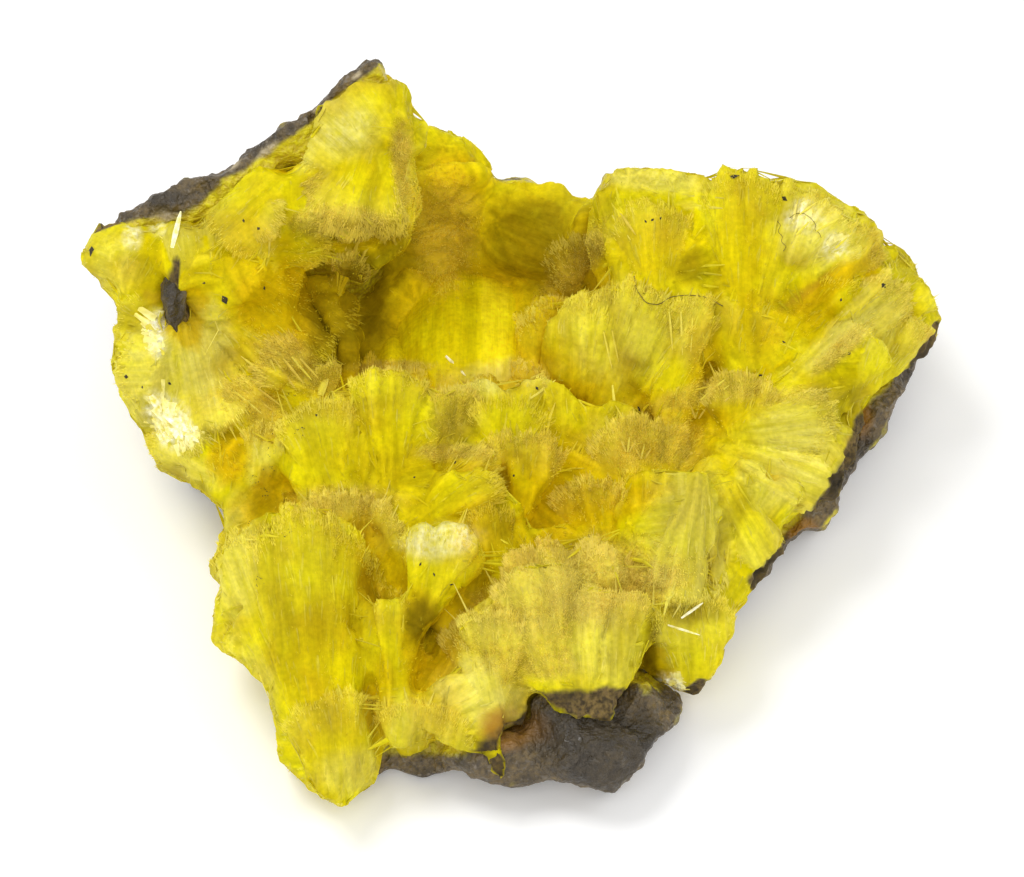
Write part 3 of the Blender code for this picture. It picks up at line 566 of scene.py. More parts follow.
# Each spray is a fan of ribs about its root: its relief rises from the root to the rim as along^1.3 and
# sinks to both sides. Two widths of stripes across it make the ribs, and a third one the ragged rim.
def sprayShape(points, normals):
    count = len(points)
    across, up = faceCoordinates(points)
    facing = normals @ sightAxis
    front = ease(*spraySettings["facing"], facing)

    pick = nearestWild(points)
    arm = points - wildRoots[pick]
    flatArm = arm - wildNormals[pick] * (arm * wildNormals[pick]).sum(1, keepdims=True)
    side = np.cross(wildNormals[pick], wildWays[pick])
    x = (flatArm * wildWays[pick]).sum(1)
    y = (flatArm * side).sum(1)
    reach = np.hypot(x, y)
    turn = np.arctan2(y, x)
    step = stripes(turn / math.pi * spraySettings["blades"] + pick * 7.0, 5) - 0.5
    along = np.clip(reach / spraySettings["reach"], 0.0, 1.0)
    relief = spraySettings["lift"] * (0.2 + 0.8 * along) + 0.22 * step * along
    relief *= 1.0 - hollow["calm"] * ease(1.2, 0.8, ellipseDistance(across, up, hollow["ellipse"]))
    flow = np.stack([turn * np.maximum(reach, 0.5) + pick * 3.7, reach], 1)
    away = unit(flatArm + wildWays[pick] * 0.3)
    result = {
        "relief": relief * (1.0 - 0.45 * front), "flow": flow, "along": along, "away": away,
        "pale": 0.25 * hashOf(pick, pick, pick, 8), "amber": np.zeros(count), "tan": np.zeros(count),
        "fringe": np.full(count, 0.2), "rimGap": np.full(count, 9.0), "ridge": 0.5 + step,
    }
    for number, (name, values) in enumerate(fans.items()):
        root, rim, half, lift, blades, pale, amber, tan, fringe = values
        axis = np.array(rim) - np.array(root)
        length = np.hypot(*axis)
        axis = axis / length
        da, du = across - root[0], up - root[1]
        reach = np.hypot(da, du)
        turn = np.arctan2(axis[0] * du - axis[1] * da, axis[0] * da + axis[1] * du)
        t = turn / math.radians(half)
        near = (np.abs(t) < 1.3) & (reach < length * 1.3)
        if not near.any():
            continue
        t, reach, turn = t[near], reach[near], turn[near]
        ridges = max(blades, 2)
        drift = 0.3 * np.sin(reach * 1.3 + number * 2.0)
        broad = stripes(t * 0.5 * ridges + drift, 40 + number) - 0.5
        fine = stripes(t * 1.6 * ridges + drift, 140 + number) - 0.5
        saw = stripes(t * 4.5 * ridges, 240 + number) - 0.5
        edge = length * (1.0 - 0.14 * t * t + 0.07 * broad + 0.06 * fine) + 0.45 * fringe * saw
        along = reach / edge
        inside = ease(1.05, 0.80, np.abs(t)) * ease(1.05, 0.985, along) * ease(0.0, 0.15, along)
        rise = lift * (0.15 + 0.85 * along ** 1.3) * (1.0 - 0.4 * t * t)
        ribs = (0.40 * lift * broad + 0.14 * fine) * along * (blades > 0)
        height = (rise + ribs) * inside
        before = result["relief"][near]
        better = (height > before) & (front[near] > 0.25) & (inside > 0.35)
        where = np.flatnonzero(near)[better]
        result["relief"][near] = np.maximum(before, height * front[near] + before * (1.0 - front[near]))
        result["flow"][where] = np.stack([turn * np.maximum(reach, 0.6) + number * 5.3, reach], 1)[better]
        result["along"][where] = np.clip(along[better], 0.0, 1.0)
        result["ridge"][where] = (0.5 + 0.75 * broad + 0.35 * fine)[better]
        result["rimGap"][where] = (edge - reach)[better]
        for key, value in (("pale", pale), ("amber", amber), ("tan", tan), ("fringe", fringe)):
            result[key][where] = value
        flat = faceWay(da[where] / reach[better], du[where] / reach[better])
        dip = (flat * normals[where]).sum(1) / np.maximum(facing[where], 0.35)
        result["away"][where] = unit(flat - sightAxis * dip[:, None])
    return result


# how much of each colour patch lies at a point: full in the middle of its ellipse, fading to none at 1.3 of
# its size, with a ragged edge
def patchMasks(points, normals):
    across, up = faceCoordinates(points)
    ragged = 0.3 * layeredNoise(points, 1.6, 3, 71) + 0.12 * smoothNoise(points / 0.35, 77)
    facing = ease(-0.1, 0.2, normals @ sightAxis)
    masks = {kind: np.zeros(len(points)) for kind in ("pale", "pearl", "amber", "oliveShade", "tan", "stain")}
    for kind, *ellipse, strength in patches:
        distance = ellipseDistance(across, up, ellipse) + ragged
        masks[kind] = np.maximum(masks[kind], strength * ease(1.3, 0.45, distance) * facing)
    return masks


# how near each point lies to a rock band: full to 0.8 of its half width, none from 1.2, with a ragged edge
def rockMask(points, normals):
    across, up = faceCoordinates(points)
    ragged = 0.35 * layeredNoise(points, 0.9, 3, 55)
    result = np.zeros(len(points))
    for band in rockBands:
        for (a, u, wide), (b, v, farWide) in zip(band, band[1:]):
            length = math.hypot(b - a, v - u)
            s = np.clip(((across - a) * (b - a) + (up - u) * (v - u)) / length ** 2, 0.0, 1.0)
            gap = np.hypot(across - a - s * (b - a), up - u - s * (v - u)) / (wide + s * (farWide - wide))
            result = np.maximum(result, ease(1.2, 0.8, gap + ragged))
    return result * ease(-0.5, -0.1, normals @ sightAxis)


# the three colour layers that the crystal materials read, with painted shade where little sky shows
def writeTones(mesh, points, normals, shape, seen):
    masks = patchMasks(points, normals)
    rim = ease(0.55, 1.0, shape["along"])
    # painted shade: where a point sees little sky, its pale is halved and amber is laid on
    shut = ease(0.75, 0.3, seen)
    pale = np.maximum(masks["pale"], 0.75 * shape["pale"] * (0.25 + 0.75 * rim)) * (1.0 - 0.5 * shut)
    # painted highlight: pale on the tops of the ribs towards the rim
    pale = np.maximum(pale, 0.25 * ease(0.6, 1.0, shape["ridge"]) * ease(0.45, 0.9, shape["along"]))
    amber = np.maximum(masks["amber"], shape["amber"] * ease(1.0, 0.2, shape["along"]))
    amber = np.maximum(amber, 0.65 * shut)
    tan = np.maximum(masks["tan"], shape["tan"] * rim)
    ones = np.ones(len(points))
    setMask(mesh, "rock", np.stack([rockMask(points, normals), 0.0 * ones, masks["stain"], ones], 1))
    setMask(mesh, "tone", np.stack([pale, amber, tan, ones], 1))
    setMask(mesh, "marks", np.stack([masks["oliveShade"], masks["pearl"], shape["ridge"], ones], 1))


# materials

def newGroup(name, inputs, outputs):
    group = bpy.data.node_groups.new(name, "ShaderNodeTree")
    for label, kind, value in inputs:
        socket = group.interface.new_socket(label, in_out="INPUT", socket_type=kind)
        socket.default_value = value
    for label, kind in outputs:
        group.interface.new_socket(label, in_out="OUTPUT", socket_type=kind)
    start = group.nodes.new("NodeGroupInput")
    start.location = (-900, 0)
    end = group.nodes.new("NodeGroupOutput")
    end.location = (900, 0)
    return group, start, end


def addNode(tree, kind, place, **settings):
    node = tree.nodes.new(kind)
    node.location = place
    for key, value in settings.items():
        setattr(node, key, value)
    return node


def addMath(tree, operation, place, first, second=None):
    node = addNode(tree, "ShaderNodeMath", place, operation=operation)
    for i, value in enumerate((first, second)):
        if isinstance(value, (int, float)):
            node.inputs[i].default_value = value
        elif value is not None:
            tree.links.new(value, node.inputs[i])
    return node.outputs[0]


def addMix(tree, place, factor, first, second, blend="MIX"):
    node = addNode(tree, "ShaderNodeMix", place, data_type="RGBA", blend_type=blend)
    for label, value in (("Factor", factor), ("A", first), ("B", second)):
        socket = node.inputs[label]
        if isinstance(value, (int, float)):
            socket.default_value = value
        elif isinstance(value, tuple):
            socket.default_value = (*value, 1.0)
        else:
            tree.links.new(value, socket)
    return node.outputs["Result"]


# carries the span from fromLow to fromHigh over to the span from low to high
def addRange(tree, place, value, low, high, fromLow=0.0, fromHigh=1.0):
    node = addNode(tree, "ShaderNodeMapRange", place)
    tree.links.new(value, node.inputs["Value"])
    for label, limit in (("From Min", fromLow), ("From Max", fromHigh), ("To Min", low), ("To Max", high)):
        node.inputs[label].default_value = limit
    return node.outputs[0]


def addBump(tree, place, height, distance, strength=1.0):
    node = addNode(tree, "ShaderNodeBump", place)
    node.inputs["Strength"].default_value = strength
    node.inputs["Distance"].default_value = distance * mm
    tree.links.new(height, node.inputs["Height"])
    return node.outputs[0]


# the red, green, blue and alpha parts of a colour layer
def addLayer(tree, place, name):
    layer = addNode(tree, "ShaderNodeAttribute", place, attribute_name=name)
    parts = addNode(tree, "ShaderNodeSeparateColor", (place[0] + 200, place[1]))
    tree.links.new(layer.outputs["Color"], parts.inputs[0])
    return [*parts.outputs, layer.outputs["Alpha"]]


def newMaterial(name, right):
    material = bpy.data.materials.new(name)
    material.use_nodes = True
    tree = material.node_tree
    shader = tree.nodes["Principled BSDF"]
    shader.location = (right, 0)
    tree.nodes["Material Output"].location = (right + 300, 0)
    return material, tree, shader


# fine parallel fibres: noise stretched along the flow map, in two widths
def buildFibreGroup():
    group, start, end = newGroup(
        "crystalFibres",
        [("Fine Width", "NodeSocketFloat", 0.12), ("Broad Width", "NodeSocketFloat", 0.45),
         ("Length", "NodeSocketFloat", 3.0)],
        [("Fine", "NodeSocketFloat"), ("Broad", "NodeSocketFloat"), ("Height", "NodeSocketFloat")],
    )
    flow = addNode(group, "ShaderNodeUVMap", (-900, 300), uv_map="flow")
    split = addNode(group, "ShaderNodeSeparateXYZ", (-700, 300))
    group.links.new(flow.outputs[0], split.inputs[0])
    made = []
    for row, (label, stretch) in enumerate((("Fine Width", 1.0), ("Broad Width", 1.6))):
        u = addMath(group, "DIVIDE", (-500, 200 - 300 * row), split.outputs[0], start.outputs[label])
        v = addMath(group, "DIVIDE", (-500, 60 - 300 * row), split.outputs[1], start.outputs["Length"])
        v = addMath(group, "DIVIDE", (-350, 60 - 300 * row), v, stretch)
        place = addNode(group, "ShaderNodeCombineXYZ", (-200, 150 - 300 * row))
        group.links.new(u, place.inputs[0])
        group.links.new(v, place.inputs[1])
        noise = addNode(group, "ShaderNodeTexNoise", (0, 150 - 300 * row), noise_dimensions="3D")
        noise.inputs["Scale"].default_value = 1.0
        noise.inputs["Detail"].default_value = 2.0
        group.links.new(place.outputs[0], noise.inputs["Vector"])
        made.append(noise.outputs[0])
        group.links.new(noise.outputs[0], end.inputs[row])
    weighted = addMath(group, "MULTIPLY", (300, 100), made[0], 0.5)
    height = addMath(group, "ADD", (480, 0), weighted, made[1])
    group.links.new(height, end.inputs["Height"])
    return group


# cloudy variation over the object, from two sizes of noise
def buildCloudGroup():
    group, start, end = newGroup(
        "mineralCloud",
        [("Size", "NodeSocketFloat", 2.0), ("Contrast", "NodeSocketFloat", 2.0)],
        [("Cloud", "NodeSocketFloat"), ("Grain", "NodeSocketFloat")],
    )
    place = addNode(group, "ShaderNodeTexCoord", (-900, 300))
    scale = addMath(group, "DIVIDE", (-700, 100), 1000.0, start.outputs["Size"])
    for row, factor in enumerate((1.0, 7.0)):
        size = addMath(group, "MULTIPLY", (-500, -200 * row), scale, factor)
        noise = addNode(group, "ShaderNodeTexNoise", (-300, -200 * row))
        noise.inputs["Detail"].default_value = 3.0
        group.links.new(place.outputs["Object"], noise.inputs["Vector"])
        group.links.new(size, noise.inputs["Scale"])
        shifted = addMath(group, "SUBTRACT", (-100, -200 * row), noise.outputs[0], 0.5)
        spread = addMath(group, "MULTIPLY", (60, -200 * row), shifted, start.outputs["Contrast"])
        lifted = addMath(group, "ADD", (220, -200 * row), spread, 0.5)
        held = addNode(group, "ShaderNodeClamp", (380, -200 * row))
        group.links.new(lifted, held.inputs[0])
        group.links.new(held.outputs[0], end.inputs[row])
    return group


fibreGroup = buildFibreGroup()
cloudGroup = buildCloudGroup()

rockColours = {
    "dark": (0.010, 0.008, 0.005), "brown": (0.30, 0.205, 0.075), "grey": (0.20, 0.165, 0.12),
    "umber": (0.050, 0.038, 0.024),
    "stain": (0.36, 0.17, 0.02), "lilac": (0.66, 0.55, 0.34), "coat": (0.60, 0.46, 0.03),
}
# olive shade is painted shade, pearl highlight a painted near-white glint, amber also painted shade in closed
# places
crystalColours = {
    "deep": (0.52, 0.395, 0.001), "vivid": (0.75, 0.67, 0.001), "pale": (0.72, 0.65, 0.15),
    "pearl": (0.94, 0.92, 0.66), "amber": (0.58, 0.37, 0.002), "oliveShade": (0.20, 0.135, 0.002),
    "tan": (0.56, 0.42, 0.08),
}
# painted light: lighter copies of the crystal colours for the crust, to lift the shade of the hollow
litHollowColours = {
    "deep": (0.66, 0.52, 0.002), "vivid": (0.83, 0.72, 0.003), "pale": (0.74, 0.64, 0.14),
    "pearl": (0.88, 0.84, 0.46), "amber": (0.62, 0.42, 0.004), "oliveShade": (0.24, 0.16, 0.002),
    "tan": (0.64, 0.46, 0.06),
}
# painted light: lighter copies of the crystal colours, to lift the shade the dense needles cast on each other
litNeedleColours = {
    "deep": (0.60, 0.48, 0.004), "vivid": (0.76, 0.67, 0.008), "pale": (0.76, 0.69, 0.14),
    "pearl": (0.90, 0.86, 0.52), "amber": (0.66, 0.44, 0.01), "oliveShade": (0.32, 0.23, 0.005),
    "tan": (0.64, 0.49, 0.10),
}
plateColours = {
    "deep": (0.66, 0.56, 0.05), "vivid": (0.76, 0.68, 0.08), "pale": (0.76, 0.70, 0.24),
    "pearl": (0.96, 0.94, 0.68), "amber": (0.66, 0.45, 0.04), "oliveShade": (0.36, 0.26, 0.01),
    "tan": (0.58, 0.43, 0.12),
}


def placeGroup(material, group, at, **values):
    node = addNode(material.node_tree, "ShaderNodeGroup", at, node_tree=group)
    for key, value in values.items():
        node.inputs[key.replace("_", " ")].default_value = value
    return node


# translucent yellow crystal: vivid and deep yellow by cloud and fibre, then masks over it with painted shade,
# highlight and glow
def crystalMaterial(name, colours, fine, broad, length, bump, roughness, glow, gloss, paintedGlow):
    material, tree, shader = newMaterial(name, 1500)
    fibres = placeGroup(material, fibreGroup, (-900, 300), Fine_Width=fine, Broad_Width=broad, Length=length)
    cloud = placeGroup(material, cloudGroup, (-900, 0), Size=2.6, Contrast=2.4)
    dust = placeGroup(material, cloudGroup, (540, 1000), Size=0.30, Contrast=3.0)
    pale, amber, tan, _ = addLayer(tree, (-900, -300), "tone")
    oliveShade, pearl, ridge, _ = addLayer(tree, (-900, -500), "marks")
    rock, _, stain, _ = addLayer(tree, (720, -700), "rock")
    base = addMix(tree, (-400, 200), cloud.outputs["Cloud"], colours["deep"], colours["vivid"])
    streak = addMath(tree, "MULTIPLY", (-400, 0), fibres.outputs["Broad"], 1.3)
    paleMask = addMath(tree, "MULTIPLY", (-200, 0), pale, streak)
    base = addMix(tree, (0, 200), paleMask, base, colours["pale"])
    # amber: the own amber tone, and painted shade where the surface sees little sky
    base = addMix(tree, (180, 200), amber, base, colours["amber"])
    tanStreak = addMath(tree, "ADD", (0, -100), fibres.outputs["Fine"], 0.3)
    tanMask = addMath(tree, "MULTIPLY", (180, 0), tan, tanStreak)
    base = addMix(tree, (360, 200), tanMask, base, colours["tan"])
    # painted shade: the dark olive shade is laid in hollows and on the shaded sides of fans
    base = addMix(tree, (540, 200), oliveShade, base, colours["oliveShade"])
    shine = addMath(tree, "MULTIPLY", (200, -100), cloud.outputs["Grain"], 1.8)
    pearlHighlightStreak = addMath(tree, "MULTIPLY", (360, -100), shine, fibres.outputs["Height"])
    pearlHighlightMask = addMath(tree, "MULTIPLY", (540, 0), pearl, pearlHighlightStreak)
    # painted highlight: near-white where the pearly faces glint; the lower roughness below is their real
    # gloss
    base = addMix(tree, (720, 200), pearlHighlightMask, base, colours["pearl"])
    lines = addRange(tree, (540, 500), fibres.outputs["Height"], 0.86, 1.10, 0.45, 1.05)
    # painted light and shade: colour lighter on the rib tops, darker in the grooves between them
    ribs = addRange(tree, (540, 750), ridge, 0.76, 1.16)
    grit = addRange(tree, (720, 1000), dust.outputs["Cloud"], 0.90, 1.09)
    for i, shade in enumerate((lines, ribs, grit)):
        base = addMix(tree, (900 + 90 * i, 300), 1.0, base, shade, "MULTIPLY")
    base = addMix(tree, (1180, 300), stain, base, rockColours["stain"])
    rockTone = addMix(tree, (960, 500), cloud.outputs["Cloud"], rockColours["dark"], rockColours["brown"])
    rockTone = addMix(tree, (1080, 500), dust.outputs["Cloud"], rockColours["umber"], rockTone)
    base = addMix(tree, (1340, 300), rock, base, rockTone)
    tree.links.new(base, shader.inputs["Base Color"])
    polish = addMath(tree, "MULTIPLY", (900, 0), pearl, -0.25)
    rough = addMath(tree, "ADD", (1080, 0), polish, roughness)
    dull = addMath(tree, "MULTIPLY", (1080, -150), fibres.outputs["Fine"], 0.15)
    rough = addMath(tree, "ADD", (1240, 0), rough, dull)
    tree.links.new(rough, shader.inputs["Roughness"])
    relief = addBump(tree, (1240, -300), fibres.outputs["Height"], bump, 0.6)
    tree.links.new(relief, shader.inputs["Normal"])
    # painted glow: the crystal shines faintly in its own colour, though it is no lamp
    tree.links.new(base, shader.inputs["Emission Color"])
    shader.inputs["Emission Strength"].default_value = paintedGlow
    shader.inputs["Specular IOR Level"].default_value = gloss
    shader.inputs["Specular Tint"].default_value = (1.0, 0.9, 0.25, 1.0)
    shader.inputs["Subsurface Weight"].default_value = glow
    shader.inputs["Subsurface Radius"].default_value = (1.0, 0.85, 0.1)
    shader.inputs["Subsurface Scale"].default_value = 0.6 * mm
    return material


# painted glow: a faint emission of each crystal's own colour stands in for light passed on inside it
crystalFinishes = {
    "autuniteYellow": {
        "colours": crystalColours, "fine": 0.10, "broad": 0.42, "length": 3.2, "bump": 0.10,
        "roughness": 0.55, "glow": 0.25, "gloss": 0.08, "paintedGlow": 0.07,
    },
    "autuniteBlades": {
        "colours": crystalColours, "fine": 0.08, "broad": 0.30, "length": 2.4, "bump": 0.05,
        "roughness": 0.40, "glow": 0.15, "gloss": 0.2, "paintedGlow": 0.08,
    },
    "autuniteNeedles": {
        "colours": litNeedleColours, "fine": 0.10, "broad": 0.30, "length": 1.0, "bump": 0.02,
        "roughness": 0.60, "glow": 0.0, "gloss": 0.10, "paintedGlow": 0.12,
    },
    "sabugaliteCrust": {
        "colours": litHollowColours, "fine": 0.10, "broad": 0.36, "length": 1.6, "bump": 0.10,
        "roughness": 0.60, "glow": 0.15, "gloss": 0.06, "paintedGlow": 0.12,
    },
    "clearPlates": {
        "colours": plateColours, "fine": 0.10, "broad": 0.30, "length": 1.0, "bump": 0.02,
        "roughness": 0.22, "glow": 0.0, "gloss": 0.6, "paintedGlow": 0.06,
    },
}
skinMaterial, bladeMaterial, needleMaterial, crustMaterial, glintMaterial = (
    crystalMaterial(name, **finish) for name, finish in crystalFinishes.items()
)


# dark rock: near-black and brown by cloud, pale grains, an orange stain and a yellow coat by mask
def rockMaterialOf(name):
    material, tree, shader = newMaterial(name, 1300)
    colours = rockColours
    cloud = placeGroup(material, cloudGroup, (-900, 300), Size=2.2, Contrast=2.2)
    fine = placeGroup(material, cloudGroup, (-900, 0), Size=0.35, Contrast=3.0)
    coat, stain, lilac, shade = addLayer(tree, (-900, -300), "coat")
    base = addMix(tree, (-600, 200), cloud.outputs["Cloud"], colours["dark"], colours["brown"])
    base = addMix(tree, (-400, 200), cloud.outputs["Grain"], colours["umber"], base)
    speck = addMath(tree, "POWER", (-400, 0), fine.outputs["Cloud"], 6.0)
    base = addMix(tree, (-200, 200), speck, base, colours["grey"])
    base = addMix(tree, (0, 200), stain, base, colours["stain"])
    base = addMix(tree, (200, 200), lilac, base, colours["lilac"])
    shaded = addMix(tree, (200, -200), fine.outputs["Grain"], colours["dark"], colours["umber"])
    base = addMix(tree, (300, 200), shade, base, shaded)
    yellow = addMix(tree, (200, 0), fine.outputs["Cloud"], colours["coat"], crystalColours["vivid"])
    base = addMix(tree, (400, 200), coat, base, yellow)
    tree.links.new(base, shader.inputs["Base Color"])
    rough = addRange(tree, (400, -100), fine.outputs["Cloud"], 0.28, 0.75)
    tree.links.new(rough, shader.inputs["Roughness"])
    relief = addBump(tree, (700, -300), fine.outputs["Cloud"], 0.12, 0.8)
    tree.links.new(relief, shader.inputs["Normal"])
    return material


rockMaterial = rockMaterialOf("matrixRock")


# specks and loose fibres: two colours by a fine cloud, with a small bump
def dustMaterialOf(name, dark, light):
    material, tree, shader = newMaterial(name, 300)
    cloud = placeGroup(material, cloudGroup, (-700, 0), Size=0.3, Contrast=3.0)
    base = addMix(tree, (-300, 200), cloud.outputs["Cloud"], dark, light)
    tree.links.new(base, shader.inputs["Base Color"])
    rough = addRange(tree, (-300, -50), cloud.outputs["Cloud"], 0.45, 0.8)
    tree.links.new(rough, shader.inputs["Roughness"])
    relief = addBump(tree, (-300, -350), cloud.outputs["Grain"], 0.03)
    tree.links.new(relief, shader.inputs["Normal"])
    return material


speckMaterial = dustMaterialOf("darkSpecks", (0.015, 0.012, 0.008), (0.07, 0.05, 0.02))
lintMaterial = dustMaterialOf("lintFibre", (0.10, 0.07, 0.01), (0.26, 0.19, 0.03))
print("materials are built")

# the yellow mass and the crust in its hollow

skins = {
    "autuniteSkin": {
        "node": "autunite_mass", "voxel": 0.20, "soften": 9, "grow": -0.12, "seed": 3, "triangles": 196000,
        "sunk": 0.0,
    },
    "crustSkin": {
        "node": "sabugalite_crust", "voxel": 0.19, "soften": 6, "grow": 0.10, "seed": 9, "triangles": 60000,
        "sunk": 0.9,
    },
}
belowMound = (-3.1, 12.3, 5.2, 5.3, 0)  # the ellipse under the large mound, where a skin is sunk


# thins the side that faces away from the camera, so that the fine side fits in one piece
def thinBack(obj, triangles):
    _, normals = readMesh(obj.data)
    back = np.flatnonzero(normals @ sightAxis < 0.0)
    full = 2 * len(obj.data.polygons)
    if full <= triangles:
        return
    group = obj.vertex_groups.new(name="back")
    group.add(back.tolist(), 1.0, "REPLACE")
    thin = obj.modifiers.new("thin", "DECIMATE")
    thin.ratio = triangles / full
    thin.vertex_group = "back"
    bakeModifiers(obj)
    obj.vertex_groups.clear()
    print(obj.name, "is thinned to", len(obj.data.polygons), "faces")


# the flow map of each corner: its face's place in the spray, plus the corner's offset across and along
def writeFlow(mesh, points, centres, faceNormals, shape):
    corners, starts, sizes = readCorners(mesh)
    face = np.repeat(np.arange(len(sizes)), sizes)
    offset = points[corners] - centres[face]
    away = shape["away"][face]
    side = np.cross(faceNormals[face], away)
    setUv(mesh, shape["flow"][face] + np.stack([(offset * side).sum(1), (offset * away).sum(1)], 1))


pinch = {"across": -20.1, "up": 14.7, "wide": 0.95, "tall": 2.3, "reach": 2.2, "pull": 0.5}


# Draws the yellow in around the thin sliver of rock. With d the distance from the sliver's middle in half
# widths, points from 1 to reach move in by pull * (1 - (d - 1) / (reach - 1))^2, and nearer ones in scale.
def pinchIn(points):
    across, up = faceCoordinates(points)
    x, y = across - pinch["across"], up - pinch["up"]
    d = np.maximum(np.hypot(x / pinch["wide"], y / pinch["tall"]), 1e-6)
    left = np.clip(1.0 - (d - 1.0) / (pinch["reach"] - 1.0), 0.0, 1.0)
    inward = np.where(d > 1.0, pinch["pull"] * left ** 2 / d, pinch["pull"]) * ease(2.0, 4.0, points[:, 2])
    return -faceWay(x * inward, y * inward)


# bundles of fibres about 0.5 and 0.24 mm wide, as noise drawn out along the flow
def bundlesOf(flow):
    lane = np.zeros(len(flow))
    wide = smoothNoise(np.stack([flow[:, 0] / 0.5, flow[:, 1] / 1.7, lane], 1), 65)
    fine = smoothNoise(np.stack([flow[:, 0] / 0.24, flow[:, 1] / 0.9, lane], 1), 66)
    return 0.10 * wide + 0.05 * fine


# moves a skin out by its sprays, a soft swell and fine crumbs; the places on it are kept for the needles
def raiseSkin(name, material):
    values = skins[name]
    obj = skinOf(values["node"], name, values["voxel"], values["soften"])
    thinBack(obj, values["triangles"])
    mesh = obj.data
    points, normals = readMesh(mesh)
    shape = sprayShape(points, normals)
    rough = 0.35 + 0.65 * np.maximum(patchMasks(points, normals)["tan"], shape["fringe"])
    swell = 0.16 * layeredNoise(points, 2.6, 3, values["seed"])
    crumbs = 0.16 * rough * layeredNoise(points, 0.8, 2, values["seed"] + 40)
    stony = rockMask(points, normals) * (0.30 * layeredNoise(points, 0.7, 3, 79) - 0.15)
    ground = ease(0.3, 1.6, points[:, 2])
    height = shape["relief"] + swell + crumbs + bundlesOf(shape["flow"]) + stony + values["grow"]
    moved = points + normals * (height * ground)[:, None]
    moved += pinchIn(moved)
    under = ease(1.0, 0.7, ellipseDistance(*faceCoordinates(moved), belowMound))
    moved -= sightAxis * (values["sunk"] * under)[:, None]
    writePoints(mesh, moved)
    seen = spreadOpenness(points, normals, tree)
    writeTones(mesh, points, normals, shape, seen)
    centres, faceNormals, areas = readFaces(mesh)
    corners, starts, _ = readCorners(mesh)
    faceShape = sprayShape(centres, faceNormals)
    writeFlow(mesh, moved, centres, faceNormals, faceShape)
    shadeFaces(mesh, True)
    mesh.materials.clear()
    mesh.materials.append(material)
    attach(obj, "root")
    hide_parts(values["node"])
    return obj, {
        "centres": centres, "normals": faceNormals, "areas": areas, "seen": seen[corners[starts]],
        "shape": faceShape,
    }


# the rounded lumps on the floor of the hollow, each with the root of its fibres
mounds = {
    "backMound": {
        "across": -3.3, "up": 12.3, "left": 4.4, "right": 6.0, "tall": 5.3, "top": 8.3, "fall": 3.9,
        "power": 2.6, "rings": 84, "spokes": 240, "root": (-3.0, 4.0), "amber": 0.0, "seed": 31,
    },
    "leftSpur": {
        "across": -7.4, "up": 10.9, "left": 1.5, "right": 2.6, "tall": 2.9, "top": 7.9, "fall": 4.4,
        "power": 1.2, "rings": 50, "spokes": 140, "root": (-6.6, 6.0), "amber": 0.2, "seed": 35,
    },
}
floorHeight = 3.6  # where the cone that closes a lump from below has its tip


# A lump is a polar grid on the face: radius r from 0 to 1, turn a all round. Its height is
# top - fall * r^power, with ribs and crumbs on it. Its rim ends inside the floor, where a shallow cone
# closes it from below.
def raiseMound(name):
    values = mounds[name]
    rings, spokes = values["rings"], values["spokes"]
    r = np.repeat(np.linspace(0.0, 1.0, rings + 1)[1:], spokes)
    a = np.tile(np.arange(spokes) * 2.0 * math.pi / spokes, rings)
    circle = np.stack([np.cos(a), np.sin(a), 0.0 * a], 1)
    ragged = 1.0 + 0.10 * layeredNoise(circle * 2.0, 1.0, 2, values["seed"])
    x = r * ragged * np.where(np.cos(a) < 0.0, values["left"], values["right"]) * np.cos(a)
    y = r * ragged * values["tall"] * np.sin(a)
    across = np.append(values["across"] + x, [values["across"]] * 2)
    up = np.append(values["up"] + y, [values["up"]] * 2)
    height = np.append(values["top"] - values["fall"] * r ** values["power"], [values["top"], floorHeight])
    points = facePoint(across, up, height)
    da, du = across - values["root"][0], up - values["root"][1]
    reach = np.maximum(np.hypot(da, du), 0.1)
    flow = np.stack([np.arctan2(da, du) * reach + values["seed"], reach], 1)
    ribs = stripes(flow[:, 0] / 0.9, values["seed"] + 2) - 0.5
    lift = 0.18 * ribs + bundlesOf(flow) + 0.22 * layeredNoise(points, 1.1, 3, values["seed"] + 4)
    lift[-1] = 0.0
    points = points + sightAxis * (lift - 0.25)[:, None]
    ring = (np.arange(rings - 1) * spokes)[:, None]
    turn = np.arange(spokes)[None, :]
    after = (turn + 1) % spokes
    outer = ring + spokes
    walls = np.stack([ring + turn, outer + turn, outer + after, ring + after], -1).reshape(-1, 4)
    last = (rings - 1) * spokes
    top = np.stack([np.full(spokes, rings * spokes), turn[0], after[0]], 1)
    under = np.stack([np.full(spokes, rings * spokes + 1), last + after[0], last + turn[0]], 1)
    obj, mesh = newPiece(name, points, walls.tolist() + top.tolist() + under.tolist())
    shadeFaces(mesh, True)
    placed, normals = readMesh(mesh)
    count = len(placed)
    flat = faceWay(da / reach, du / reach)
    shape = {
        "along": np.clip(reach / 12.0, 0.0, 0.6), "flow": flow, "ridge": 0.6 + ribs,
        "away": unit(flat - normals * (flat * normals).sum(1, keepdims=True)),
        "pale": np.zeros(count), "amber": np.full(count, values["amber"]), "tan": np.zeros(count),
        "fringe": np.full(count, 0.25), "rimGap": np.full(count, 9.0),
    }
    # painted shade: a made-up openness that falls lower down the lump, so its lower parts take more amber and
    # less pale
    seen = np.full(count, 0.65) + 0.2 * (height - 6.0) / 2.0
    writeTones(mesh, placed, normals, shape, seen)
    corners, starts, _ = readCorners(mesh)
    setUv(mesh, flow[corners])
    mesh.materials.append(crustMaterial)
    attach(obj, "root")
    centres, faceNormals, areas = readFaces(mesh)
    ground = {"centres": centres, "normals": faceNormals, "areas": areas, "seen": seen[corners[starts]]}
    ground["shape"] = {key: value[corners[starts]] for key, value in shape.items()}
    return obj, ground


